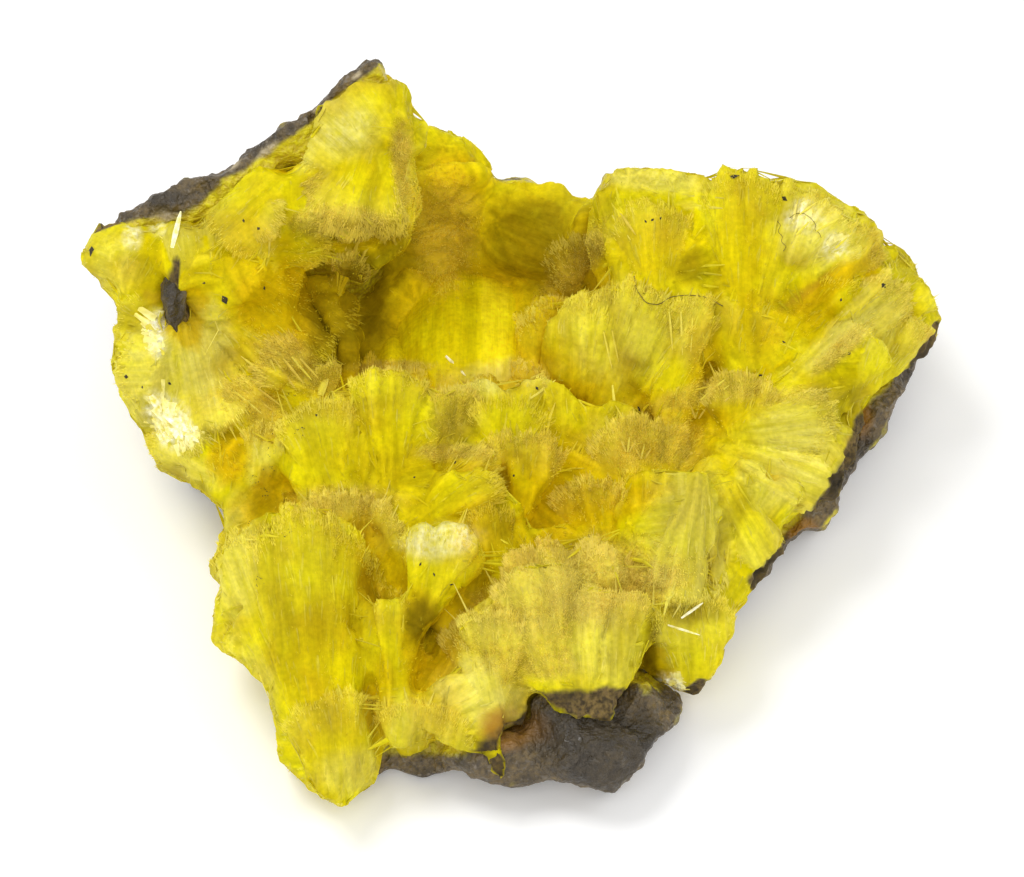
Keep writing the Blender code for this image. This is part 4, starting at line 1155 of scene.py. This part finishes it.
massSkin, massGround = raiseSkin("autuniteSkin", skinMaterial)
crustSkin, crustGround = raiseSkin("crustSkin", crustMaterial)
backMound, backGround = raiseMound("backMound")
leftSpur, spurGround = raiseMound("leftSpur")
print("skins and mounds are raised")

# the rock

rockSettings = {"voxel": 0.24, "soften": 2, "lumps": 0.45, "grains": 0.16}

# ellipses on the face: the orange stain, the lilac crystals and the darkest places on the rock, and the
# sliver, which has no coat
stains = [
    (-0.8, -10.9, 2.6, 1.2, 0), (17.4, 0.7, 0.9, 0.7, 0), (-21.8, 14.8, 0.7, 0.5, 0),
    (20.6, 8.6, 0.8, 2.2, 20),
]
lilacs = [
    (-21.1, 18.9, 0.9, 0.9, 0), (-20.4, 19.2, 0.6, 0.5, 0), (-16.8, 22.8, 0.6, 0.4, 30),
    (-19.6, 15.4, 0.2, 1.2, 0), (-14.6, 23.4, 0.8, 0.25, 35), (-11.4, 26.0, 0.6, 0.15, 38),
    (-9.2, 27.9, 0.3, 0.15, 38),
]
darkPlaces = [(5.2, -12.0, 4.6, 3.0, 0), (-20.2, 14.7, 1.3, 3.0, 0), (-20.6, 20.6, 1.2, 0.6, 0)]
bareSliver = [(-20.2, 14.7, 1.5, 3.2, 0)]


def ellipseMask(points, ellipses, softness):
    across, up = faceCoordinates(points)
    ragged = 0.25 * layeredNoise(points, 1.0, 3, 55)
    result = np.zeros(len(points))
    for ellipse in ellipses:
        distance = ellipseDistance(across, up, ellipse) + ragged
        result = np.maximum(result, ease(1.0 + softness, 1.0 - softness, distance))
    return result


def raiseRock():
    obj = skinOf("matrix_rock", "rockSkin", rockSettings["voxel"], rockSettings["soften"])
    mesh = obj.data
    points, normals = readMesh(mesh)
    broken = np.abs(layeredNoise(points, 2.2, 3, 21)) + 0.6 * np.abs(layeredNoise(points, 0.9, 2, 23))
    grains = layeredNoise(points, 0.6, 3, 27)
    ground = ease(0.2, 1.2, points[:, 2])
    height = rockSettings["lumps"] * (broken - 0.4) + rockSettings["grains"] * grains
    writePoints(mesh, points + normals * (height * ground)[:, None])
    shadeFaces(mesh, False)
    bare = np.maximum(rockMask(points, normals), ellipseMask(points, bareSliver, 0.2))
    ragged = 0.5 * layeredNoise(points, 1.8, 4, 83)
    facing = ease(-0.2, 0.1, normals @ sightAxis + ragged) * ease(1.0, 3.0, points[:, 2])
    coat = (1.0 - bare) * facing
    front = ease(0.1, 0.4, normals @ sightAxis + 0.4 * ragged)
    stain = ellipseMask(points, stains, 0.4) * front
    lilac = ellipseMask(points, lilacs, 0.3) * front
    shaded = 0.75 * ellipseMask(points, darkPlaces, 0.5) * front
    setMask(mesh, "coat", np.stack([coat, stain * 0.8, lilac * 0.7, shaded], 1))
    mesh.materials.clear()
    mesh.materials.append(rockMaterial)
    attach(obj, "root")
    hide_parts("matrix_rock")
    return obj


rockSkin = raiseRock()
print("rock is raised")

# blades: thin closed bars that lie along the sprays

# the bars' four corners at each station are the centre, plus or minus its half width and half thickness
def barMesh(name, centres, wideWays, thickWays, tones, marks, flows):
    count, stations = centres.shape[:2]
    corners = np.stack(
        [centres + wideWays, centres + thickWays, centres - wideWays, centres - thickWays], axis=2
    ).reshape(-1, 3)
    base = (np.arange(count) * stations * 4)[:, None, None]
    ring = np.arange(stations - 1)[None, :, None] * 4
    turn = np.arange(4)[None, None, :]
    after = (turn + 1) % 4
    first = base + ring + turn
    second = base + ring + after
    walls = np.stack([first, second, second + 4, first + 4], -1).reshape(-1, 4)
    start = (base[:, 0, :] + np.array([[3, 2, 1, 0]])).reshape(-1, 4)
    end = (base[:, 0, :] + (stations - 1) * 4 + np.array([[0, 1, 2, 3]])).reshape(-1, 4)
    obj, mesh = newPiece(name, corners, np.concatenate([walls, start, end]).tolist())
    setMask(mesh, "tone", np.repeat(tones.reshape(-1, 4), 4, axis=0))
    setMask(mesh, "marks", np.repeat(marks.reshape(-1, 4), 4, axis=0))
    perVertex = np.repeat(flows.reshape(-1, 2), 4, axis=0)
    perVertex[:, 0] += np.tile(np.array([0.0, 0.08, 0.16, 0.08]), count * stations)
    setUv(mesh, perVertex[readCorners(mesh)[0]])
    return obj


# evenly random places on the raised skins, more of them where the weight is high
def scatter(grounds, count, weigh, rng):
    centres = np.concatenate([ground["centres"] for ground in grounds])
    normals = np.concatenate([ground["normals"] for ground in grounds])
    seen = np.concatenate([ground["seen"] for ground in grounds])
    areas = np.concatenate([ground["areas"] for ground in grounds])
    keys = [key for key in grounds[0]["shape"] if key != "relief"]
    shape = {key: np.concatenate([ground["shape"][key] for ground in grounds]) for key in keys}
    facing = np.tile(sightAxis, (len(centres), 1))
    bare = np.maximum(rockMask(centres, facing), rockMask(centres + shape["away"] * 1.4, facing))
    weights = areas * weigh(centres, normals, shape, seen) * (1.0 - bare) ** 3
    chosen = rng.choice(len(centres), count, p=weights / weights.sum(), replace=True)
    jitter = rng.normal(size=(count, 3)) * 0.08
    places = centres[chosen] + jitter - normals[chosen] * (jitter * normals[chosen]).sum(1, keepdims=True)
    return places, normals[chosen], {key: value[chosen] for key, value in shape.items()}, seen[chosen]


def surfaceTree(objects):
    points, faces, base = [], [], 0
    for obj in objects:
        own, _ = readMesh(obj.data)
        points.append(own)
        corners, starts, sizes = readCorners(obj.data)
        listed = (corners + base).tolist()
        faces += [listed[a:a + n] for a, n in zip(starts, sizes)]
        base += len(own)
    return BVHTree.FromPolygons([tuple(p) for p in np.concatenate(points)], faces)


# the colour layers of small pieces: from the patches at each point, paler or more tan towards the tip
def tipTones(points, normals, shape, seen, s, own, values):
    masks = patchMasks(points, normals)
    along = np.clip(shape["along"] + 0.3 * s, 0.0, 1.0)
    rim = ease(0.5, 1.0, along)
    # painted shade: amber where little sky shows, and the olive shade, both less towards the tip
    shut = ease(0.6, 0.2, seen)
    tip = values["tipFrom"] + (1.0 - values["tipFrom"]) * s
    pale = np.maximum(masks["pale"], shape["pale"] * (0.3 + 0.7 * rim))
    pale = np.clip(pale + values["paleTip"] * tip * own, 0.0, 1.0)
    amber = np.maximum(masks["amber"], 0.6 * shut) * (1.0 - 0.6 * tip)
    tan = np.maximum(masks["tan"], shape["tan"] * rim)
    tan = np.clip(tan + values["tanTip"] * tip * own * (0.3 + shape["fringe"]), 0.0, 1.0)
    oliveShade = masks["oliveShade"] * (1.0 - 0.6 * tip)
    # the ridge sets the painted rib light and shade; a higher tipFrom moves it to the light end
    ridge = shape["ridge"] + (1.0 - shape["ridge"]) * values["tipFrom"]
    ones = np.ones(len(points))
    pearl = masks["pearl"] * (0.2 + 0.8 * own)
    return np.stack([pale, amber, tan, ones], 1), np.stack([oliveShade, pearl, ridge, ones], 1)


# Bars start at their places and run along the spray. Each station is drawn to the skin, then lifted:
# centre = nearest skin + normal * (sink + rise * s^1.5), with s from 0 at the root to 1 at the tip.
def layBlades(name, places, normals, shape, seen, values, rng, skin):
    count = len(places)
    stations = np.array(values["stations"])
    size = rng.uniform(*values["length"], count) * (0.55 + 0.45 * rng.random(count))
    wide = rng.uniform(*values["wide"], count)
    thick = wide * rng.uniform(*values["flat"], count)
    rise = rng.uniform(*values["rise"], count)
    side = np.cross(normals, shape["away"])
    sway = rng.normal(size=count) * values["sway"]
    away = unit(shape["away"] + side * sway[:, None])
    side = unit(np.cross(normals, away))
    centres = np.empty((count, len(stations), 3))
    for k, s in enumerate(stations):
        straight = places + away * (size * s)[:, None]
        if s > 0:
            drawn = np.array([tuple(skin.find_nearest(p)[0]) for p in straight])
            gap = drawn - straight
            far = np.linalg.norm(gap, axis=1, keepdims=True)
            straight = straight + gap * np.minimum(1.0, values["cling"] / np.maximum(far, 1e-6))
        centres[:, k] = straight + normals * (values["sink"] + rise * s ** 1.5)[:, None]
    taper = np.array(values["taper"])
    roll = rng.normal(size=count) * values["roll"]
    wideWay = unit(side * np.cos(roll)[:, None] + normals * np.sin(roll)[:, None])
    thickWay = unit(np.cross(away, wideWay))
    wideWays = wideWay[:, None, :] * (wide[:, None] * 0.5 * taper[None, :])[:, :, None]
    thickWays = thickWay[:, None, :] * (thick[:, None] * 0.5 * np.sqrt(taper)[None, :])[:, :, None]
    each = len(stations)
    s = np.tile(stations, count)
    own = np.repeat(rng.random(count), each)
    spread = {key: np.repeat(value, each, axis=0) for key, value in shape.items()}
    facing, clear = np.repeat(normals, each, axis=0), np.repeat(seen, each)
    tones, marks = tipTones(centres.reshape(-1, 3), facing, spread, clear, s, own, values)
    flows = np.stack([own * 37.0, np.repeat(size, each) * s + own * 11.0], 1)
    return barMesh(name, centres, wideWays, thickWays, tones, marks, flows)


# Needles are three-sided spikes. Neighbours lean alike, by noise half a millimetre wide, so they stand in
# tufts: way = along the spray * cos(lean) + normal * sin(lean) + tuft noise * spread.
def layNeedles(name, places, normals, shape, seen, values, rng):
    count = len(places)
    size = rng.uniform(*values["length"], count)
    size = size * (0.65 + 0.5 * smoothNoise(places / 0.6, 91)) * (0.4 + 0.6 * rng.random(count))
    wide = rng.uniform(*values["wide"], count)
    lean = rng.uniform(*values["lean"], count)
    tuft = np.stack([smoothNoise(places / 0.5 + 9.0 * k, 93 + k) for k in range(3)], 1)
    loose = rng.normal(size=(count, 3)) * 0.12
    leaning = shape["away"] * np.cos(lean)[:, None] + normals * np.sin(lean)[:, None]
    way = unit(leaning + (tuft + loose) * values["spread"])
    first = unit(np.cross(way, normals) + 0.01)
    second = np.cross(way, first)
    root = places + normals * 0.02
    turns = np.array([0.0, 2.0, 4.0]) * math.pi / 3.0
    ring = [root + (first * math.cos(a) + second * math.sin(a)) * (wide * 0.5)[:, None] for a in turns]
    corners = np.stack(ring + [root + way * size[:, None]], 1)
    base = (np.arange(count) * 4)[:, None, None]
    faces = (base + np.array([[[0, 1, 3], [1, 2, 3], [2, 0, 3], [0, 2, 1]]])).reshape(-1, 3)
    obj, mesh = newPiece(name, corners.reshape(-1, 3), faces.tolist())
    s = np.tile(np.array([0.0, 0.0, 0.0, 1.0]), count)
    own = np.repeat(rng.random(count), 4)
    spread = {key: np.repeat(value, 4, axis=0) for key, value in shape.items()}
    facing, clear = np.repeat(normals, 4, axis=0), np.repeat(seen, 4)
    tones, marks = tipTones(corners.reshape(-1, 3), facing, spread, clear, s, own, values)
    setMask(mesh, "tone", tones)
    setMask(mesh, "marks", marks)
    flows = np.stack([own * 37.0, s * np.repeat(size, 4) + own * 11.0], 1)
    setUv(mesh, flows[readCorners(mesh)[0]])
    return obj


bladeSettings = {
    "frontBlades": {
        "count": 3600, "length": (0.6, 2.2), "wide": (0.10, 0.22), "flat": (0.25, 0.5),
        "rise": (-0.03, 0.04), "sway": 0.06, "cling": 3.0, "sink": -0.02, "roll": 0.3,
        "paleTip": 0.35, "tanTip": 0.15, "tipFrom": 0.0,
        "stations": (0.0, 0.5, 1.0), "taper": (0.7, 1.0, 0.3), "seed": 41,
    },
    "sideBlades": {
        "count": 4200, "length": (0.8, 2.4), "wide": (0.14, 0.34), "flat": (0.25, 0.5), "rise": (-0.02, 0.06),
        "sway": 0.08, "cling": 3.0, "sink": -0.03, "roll": 0.3, "paleTip": 0.3, "tanTip": 0.1, "tipFrom": 0.0,
        "stations": (0.0, 0.5, 1.0), "taper": (0.7, 1.0, 0.35), "seed": 43,
    },
    "clearPlates": {
        "count": 260, "length": (0.5, 1.2), "wide": (0.28, 0.60), "flat": (0.10, 0.2), "rise": (0.0, 0.03),
        "sway": 0.3, "cling": 3.0, "sink": -0.01, "roll": 0.2, "paleTip": 0.7, "tanTip": 0.0, "tipFrom": 1.0,
        "stations": (0.0, 1.0), "taper": (1.0, 0.7), "seed": 59,
    },
}

needleSettings = {
    "rimNeedles": {
        "count": 40000, "length": (0.35, 0.85), "wide": (0.05, 0.09), "lean": (0.0, 0.5), "spread": 0.20,
        "paleTip": 0.6, "tanTip": 0.5, "tipFrom": 0.35, "seed": 47,
    },
    "tuftNeedles": {
        "count": 46000, "length": (0.18, 0.45), "wide": (0.05, 0.09), "lean": (0.3, 1.0), "spread": 0.5,
        "paleTip": 0.35, "tanTip": 0.25, "tipFrom": 0.35, "seed": 53,
    },
}


def weighFront(centres, normals, shape, seen):
    clear = ease(0.35, 0.6, seen)
    return ease(0.0, 0.2, normals @ sightAxis) * (0.35 + 0.65 * ease(0.1, 0.8, shape["along"])) * clear


def weighSide(centres, normals, shape, seen):
    return ease(0.25, 0.0, normals @ sightAxis) * ease(1.0, 2.5, centres[:, 2]) * (0.15 + seen)


def weighRim(centres, normals, shape, seen):
    return ease(0.8, 0.05, shape["rimGap"]) * shape["fringe"] * ease(-0.1, 0.2, normals @ sightAxis)


def weighTuft(centres, normals, shape, seen):
    masks = patchMasks(centres, normals)
    clump = ease(-0.1, 0.4, layeredNoise(centres, 1.4, 2, 61))
    edge = shape["fringe"] * clump * ease(1.6, 0.3, shape["rimGap"])
    fuzz = masks["tan"] * (0.35 + 0.65 * clump) + 0.15 * masks["amber"] * clump + 0.4 * edge
    return (fuzz + 0.002) * ease(-0.6, 0.2, normals @ sightAxis) * (1.0 - 0.8 * masks["oliveShade"])


def weighPlates(centres, normals, shape, seen):
    return ease(0.4, 0.9, patchMasks(centres, normals)["pearl"])


grounds = [massGround, crustGround, backGround, spurGround]
skinTree = surfaceTree([massSkin, crustSkin, backMound, leftSpur])
for name, weigh, material in (
    ("frontBlades", weighFront, bladeMaterial), ("sideBlades", weighSide, bladeMaterial),
    ("clearPlates", weighPlates, glintMaterial),
):
    values = bladeSettings[name]
    rng = np.random.default_rng(values["seed"])
    piece = layBlades(name, *scatter([massGround], values["count"], weigh, rng), values, rng, skinTree)
    piece.data.materials.append(material)
    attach(piece, "root")
    print(name, "has", len(piece.data.polygons), "faces")
for name, weigh in (("rimNeedles", weighRim), ("tuftNeedles", weighTuft)):
    values = needleSettings[name]
    rng = np.random.default_rng(values["seed"])
    piece = layNeedles(name, *scatter(grounds, values["count"], weigh, rng), values, rng)
    piece.data.materials.append(needleMaterial)
    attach(piece, "root")
    print(name, "has", len(piece.data.polygons), "faces")

# laths, specks and loose fibres that stand out one by one

# laths: kind, across and up of the root, across and up of the tip, width
laths = [
    ("pearl", 10.0, -4.4, 11.3, -3.5, 0.22), ("pearl", 9.2, -4.8, 11.1, -5.4, 0.18),
    ("pearl", -4.0, 11.2, -2.8, 10.0, 0.26), ("pearl", -20.3, 17.6, -19.8, 19.8, 0.42),
    ("pale", 6.0, 19.6, 7.1, 18.1, 0.20), ("tan", 6.5, 19.7, 7.4, 18.4, 0.20),
    ("pale", -11.5, 8.8, -11.1, 10.7, 0.75), ("tan", -14.2, 10.9, -13.0, 9.2, 0.18),
    ("tan", -13.7, 11.0, -12.5, 9.5, 0.20), ("pale", -13.2, 11.1, -12.0, 9.7, 0.18),
    ("tan", -12.7, 11.0, -11.6, 9.8, 0.18), ("tan", -17.2, 8.8, -15.7, 7.4, 0.18),
    ("pale", -16.6, 9.0, -15.0, 7.7, 0.20), ("tan", -16.0, 9.1, -14.4, 7.9, 0.18),
    ("tan", -15.2, 9.2, -13.9, 8.2, 0.18), ("pale", 5.5, 12.6, 6.0, 10.4, 0.16),
    ("pale", 6.0, 12.7, 6.4, 10.8, 0.14), ("pale", 9.4, 13.8, 9.6, 11.5, 0.16),
    ("pale", 10.1, 13.8, 10.2, 11.2, 0.16), ("pale", 10.8, 13.4, 10.7, 11.4, 0.14),
    ("pale", 6.0, 9.4, 6.2, 7.4, 0.20), ("pale", 0.2, 9.4, 2.0, 10.2, 0.24),
    ("pale", 1.1, 8.6, 2.6, 9.7, 0.22),
    ("pearl", -21.6, 8.8, -21.0, 7.8, 0.60), ("pearl", -20.8, 7.6, -19.3, 6.6, 0.55),
    ("pearl", -20.2, 7.0, -18.7, 6.0, 0.50), ("pale", -21.8, 13.0, -20.8, 11.2, 0.70),
    ("tan", 6.8, 5.4, 6.5, 6.1, 0.16), ("pale", 6.9, 5.4, 7.0, 6.3, 0.16), ("tan", 7.0, 5.4, 7.4, 6.1, 0.16),
    ("tan", 7.7, 5.0, 7.3, 5.7, 0.16), ("pale", 7.7, 5.0, 7.9, 5.9, 0.16), ("tan", 7.9, 5.0, 8.3, 5.6, 0.16),
    ("tan", 11.0, 7.4, 10.7, 8.2, 0.16), ("pale", 11.0, 7.4, 11.2, 8.3, 0.16),
    ("tan", 11.2, 7.4, 11.6, 8.0, 0.16), ("pale", 11.3, 8.5, 12.8, 9.8, 0.22),
    ("pale", 11.6, 8.3, 13.0, 9.4, 0.20), ("tan", 12.0, 7.9, 13.2, 8.8, 0.18),
    ("pale", 17.2, 19.6, 18.3, 20.4, 0.20), ("pale", 18.2, 18.6, 19.6, 19.4, 0.22),
    ("pale", 17.0, 18.4, 17.8, 19.2, 0.18), ("pale", 19.4, 17.6, 20.4, 18.6, 0.20),
]
# a lath kind gives pale, amber, tan and pearl highlight; the last is a painted near-white glint
lathKinds = {"pale": (0.7, 0.0, 0.2, 0.0), "pearl": (0.9, 0.0, 0.0, 0.9), "tan": (0.3, 0.3, 0.8, 0.0)}


# what the camera sees at places on the face: where each sight line first meets the skins
def dropOn(across, up, skin):
    starts = facePoint(np.array(across), np.array(up), np.full(len(across), 30.0))
    found = [skin.ray_cast(Vector(start), Vector(-sightAxis)) for start in starts]
    found = [hit if hit[0] else skin.find_nearest(Vector(start)) for hit, start in zip(found, starts)]
    return np.array([tuple(hit[0]) for hit in found]), np.array([tuple(hit[1]) for hit in found])


# a lath is a straight bar from root to tip, turned to the camera; it rests on the nearer of its two ends
def layLaths(skin):
    rows = np.array([row[1:] for row in laths])
    roots, _ = dropOn(rows[:, 0], rows[:, 1], skin)
    tips, _ = dropOn(rows[:, 2], rows[:, 3], skin)
    span = np.hypot(rows[:, 2] - rows[:, 0], rows[:, 3] - rows[:, 1])
    depth = (tips - roots) @ sightAxis
    roots = roots + sightAxis * np.maximum(depth - 0.7 * span, 0.0)[:, None]
    depth = np.clip(depth, -0.3 * span, 0.7 * span)
    flat = faceWay(rows[:, 2] - rows[:, 0], rows[:, 3] - rows[:, 1])
    way = flat + sightAxis * depth[:, None]
    stations = np.array([0.0, 0.4, 0.8, 1.0])
    roots = roots + sightAxis * 0.10
    centres = roots[:, None, :] + way[:, None, :] * stations[None, :, None]
    wide = unit(np.cross(way, sightAxis))
    thick = unit(np.cross(way, wide))
    taper = np.array([0.5, 0.8, 0.6, 0.2])
    wideWays = wide[:, None, :] * (rows[:, 4, None] * 0.5 * taper)[:, :, None]
    thickWays = thick[:, None, :] * (rows[:, 4, None] * 0.24 * taper)[:, :, None]
    kinds = np.array([lathKinds[row[0]] for row in laths])
    ones = np.ones(len(laths))
    tones = np.repeat(np.stack([kinds[:, 0], kinds[:, 1], kinds[:, 2], ones], 1), 4, axis=0)
    marks = np.repeat(np.stack([0.0 * ones, kinds[:, 3], ones, ones], 1), 4, axis=0)
    flows = np.stack([np.repeat(np.arange(len(laths)) * 3.1, 4), (span[:, None] * stations).ravel()], 1)
    piece = barMesh("loneLaths", centres, wideWays, thickWays, tones, marks, flows)
    piece.data.materials.append(bladeMaterial)
    return piece


# dark specks: across, up, size and stretch; then the middles of small rings of finer ones
specks = [
    (-25.2, 17.5, 0.42, 1.5), (-17.2, 14.5, 0.30, 1.2), (-23.1, 9.9, 0.20, 1.0), (-22.1, 9.3, 0.16, 1.0),
    (-20.5, 9.5, 0.15, 1.4), (7.6, 8.0, 0.20, 2.6), (1.5, 9.2, 0.15, 1.3), (0.1, 4.0, 0.13, 1.0),
    (-3.4, 4.8, 0.13, 1.0), (16.3, 20.6, 0.26, 1.8), (8.0, 19.2, 0.13, 2.0), (8.4, 19.3, 0.12, 2.0),
    (8.9, 19.4, 0.13, 2.0), (20.2, 11.3, 0.17, 1.4), (19.7, 14.5, 0.15, 1.0), (22.3, 15.4, 0.26, 1.2),
    (14.9, 10.0, 0.15, 2.4), (16.3, 12.0, 0.11, 1.6), (-16.0, 19.2, 0.15, 1.3), (-15.1, 18.7, 0.16, 1.0),
    (-14.8, 15.2, 0.16, 1.6), (-18.4, 15.5, 0.13, 1.5), (-11.6, 7.6, 0.13, 1.0), (13.3, 21.9, 0.36, 1.6),
    (-5.8, 3.9, 0.10, 1.0), (-5.4, -1.2, 0.14, 2.2), (-4.6, -1.8, 0.14, 2.4), (-3.6, -2.4, 0.13, 2.2),
]
speckRings = [
    (-13.3, 8.6), (-13.2, 7.4), (-14.1, 6.6), (-12.6, 6.6), (-14.4, 5.4), (-14.5, 4.3), (-15.4, 3.7),
    (-14.8, 3.0), (-13.3, 0.7), (-14.9, -2.2), (-15.6, 1.0),
]
speckScale = 0.85


# a speck is an eight-sided chip, flattened against the skin, turned and uneven by random numbers
def laySpecks(skin):
    rng = np.random.default_rng(67)
    turns = rng.uniform(0.0, 2.0 * math.pi, (len(speckRings), 9))
    reach = rng.uniform(0.16, 0.34, turns.shape)
    middles = np.array(speckRings)
    ringed = np.stack([
        (middles[:, :1] + reach * np.cos(turns)).ravel(), (middles[:, 1:] + reach * np.sin(turns)).ravel(),
        rng.uniform(0.03, 0.06, turns.size), rng.uniform(1.0, 2.6, turns.size),
    ], 1)
    rows = np.concatenate([np.array(specks), ringed])
    places, normals = dropOn(rows[:, 0], rows[:, 1], skin)
    lean = rng.normal(size=(len(rows), 3))
    first = unit(np.cross(normals, lean))
    second = np.cross(normals, first)
    size = rows[:, 2:3] * speckScale
    long = first * size * np.sqrt(rows[:, 3:4])
    short = second * size / np.sqrt(rows[:, 3:4])
    uneven = rng.uniform(0.7, 1.2, (6, len(rows), 1))
    tips = [long * uneven[0], short * uneven[1], -long * uneven[2], -short * uneven[3]]
    tips += [normals * size * 0.45 * uneven[4], -normals * size * 0.5 * uneven[5]]
    points = np.stack([places + tip for tip in tips], 1).reshape(-1, 3)
    chip = [[0, 1, 4], [1, 2, 4], [2, 3, 4], [3, 0, 4], [1, 0, 5], [2, 1, 5], [3, 2, 5], [0, 3, 5]]
    faces = ((np.arange(len(rows)) * 6)[:, None, None] + np.array([chip])).reshape(-1, 3)
    obj, mesh = newPiece("darkSpecks", points, faces.tolist())
    mesh.materials.append(speckMaterial)
    return obj


# loose fibres of lint: the eight places that each passes on the face, and its half width
lintPaths = [
    [
        (7.3, 16.0), (7.4, 15.2), (8.0, 14.3), (8.8, 14.2), (9.5, 14.7), (10.6, 14.8), (11.6, 14.7),
        (12.7, 14.1),
    ],
    [
        (15.8, 19.3), (16.1, 19.0), (15.9, 18.6), (16.2, 18.3), (16.1, 18.0), (16.4, 17.7), (16.3, 17.5),
        (16.2, 17.4),
    ],
    [
        (16.6, 19.4), (17.0, 19.7), (17.5, 19.7), (17.9, 19.4), (18.2, 19.0), (18.1, 18.7), (18.4, 18.5),
        (18.5, 18.2),
    ],
]
lintWidths = [0.028, 0.016, 0.016]


# each fibre is a thin bar along its path, with 48 stations between the places and a running mean over them
def layLint(skin):
    count, stations = len(lintPaths), 48
    s = np.linspace(0.0, 7.0, stations)
    weight = np.array([1.0, 2.0, 3.0, 2.0, 1.0]) / 9.0
    centres = []
    for path in lintPaths:
        across, up = np.array(path).T
        places, _ = dropOn(np.interp(s, np.arange(8), across), np.interp(s, np.arange(8), up), skin)
        padded = np.pad(places, ((2, 2), (0, 0)), mode="edge")
        centres.append(np.stack([np.convolve(padded[:, k], weight, mode="valid") for k in range(3)], 1))
    centres = np.array(centres) + sightAxis * 0.10
    along = np.gradient(centres, axis=1).reshape(-1, 3)
    wide = unit(np.cross(along, sightAxis))
    thick = unit(np.cross(along, wide))
    size = np.repeat(lintWidths, stations)[:, None]
    plain = np.ones((count * stations, 4))
    flows = np.stack([np.zeros(count * stations), np.tile(s, count)], 1)
    shape = (count, stations, 3)
    wideWays, thickWays = (wide * size).reshape(shape), (thick * size).reshape(shape)
    piece = barMesh("lintFibres", centres, wideWays, thickWays, plain, plain, flows)
    piece.data.materials.append(lintMaterial)
    return piece


allTree = surfaceTree([massSkin, crustSkin, backMound, leftSpur, rockSkin])
smallPieces = [
    (layLaths(allTree), "autunite"), (laySpecks(allTree), "matrix_rock"), (layLint(allTree), "matrix_rock"),
]
for piece, slot in smallPieces:
    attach(piece, "root")
    print(piece.name, "has", len(piece.data.polygons), "faces")
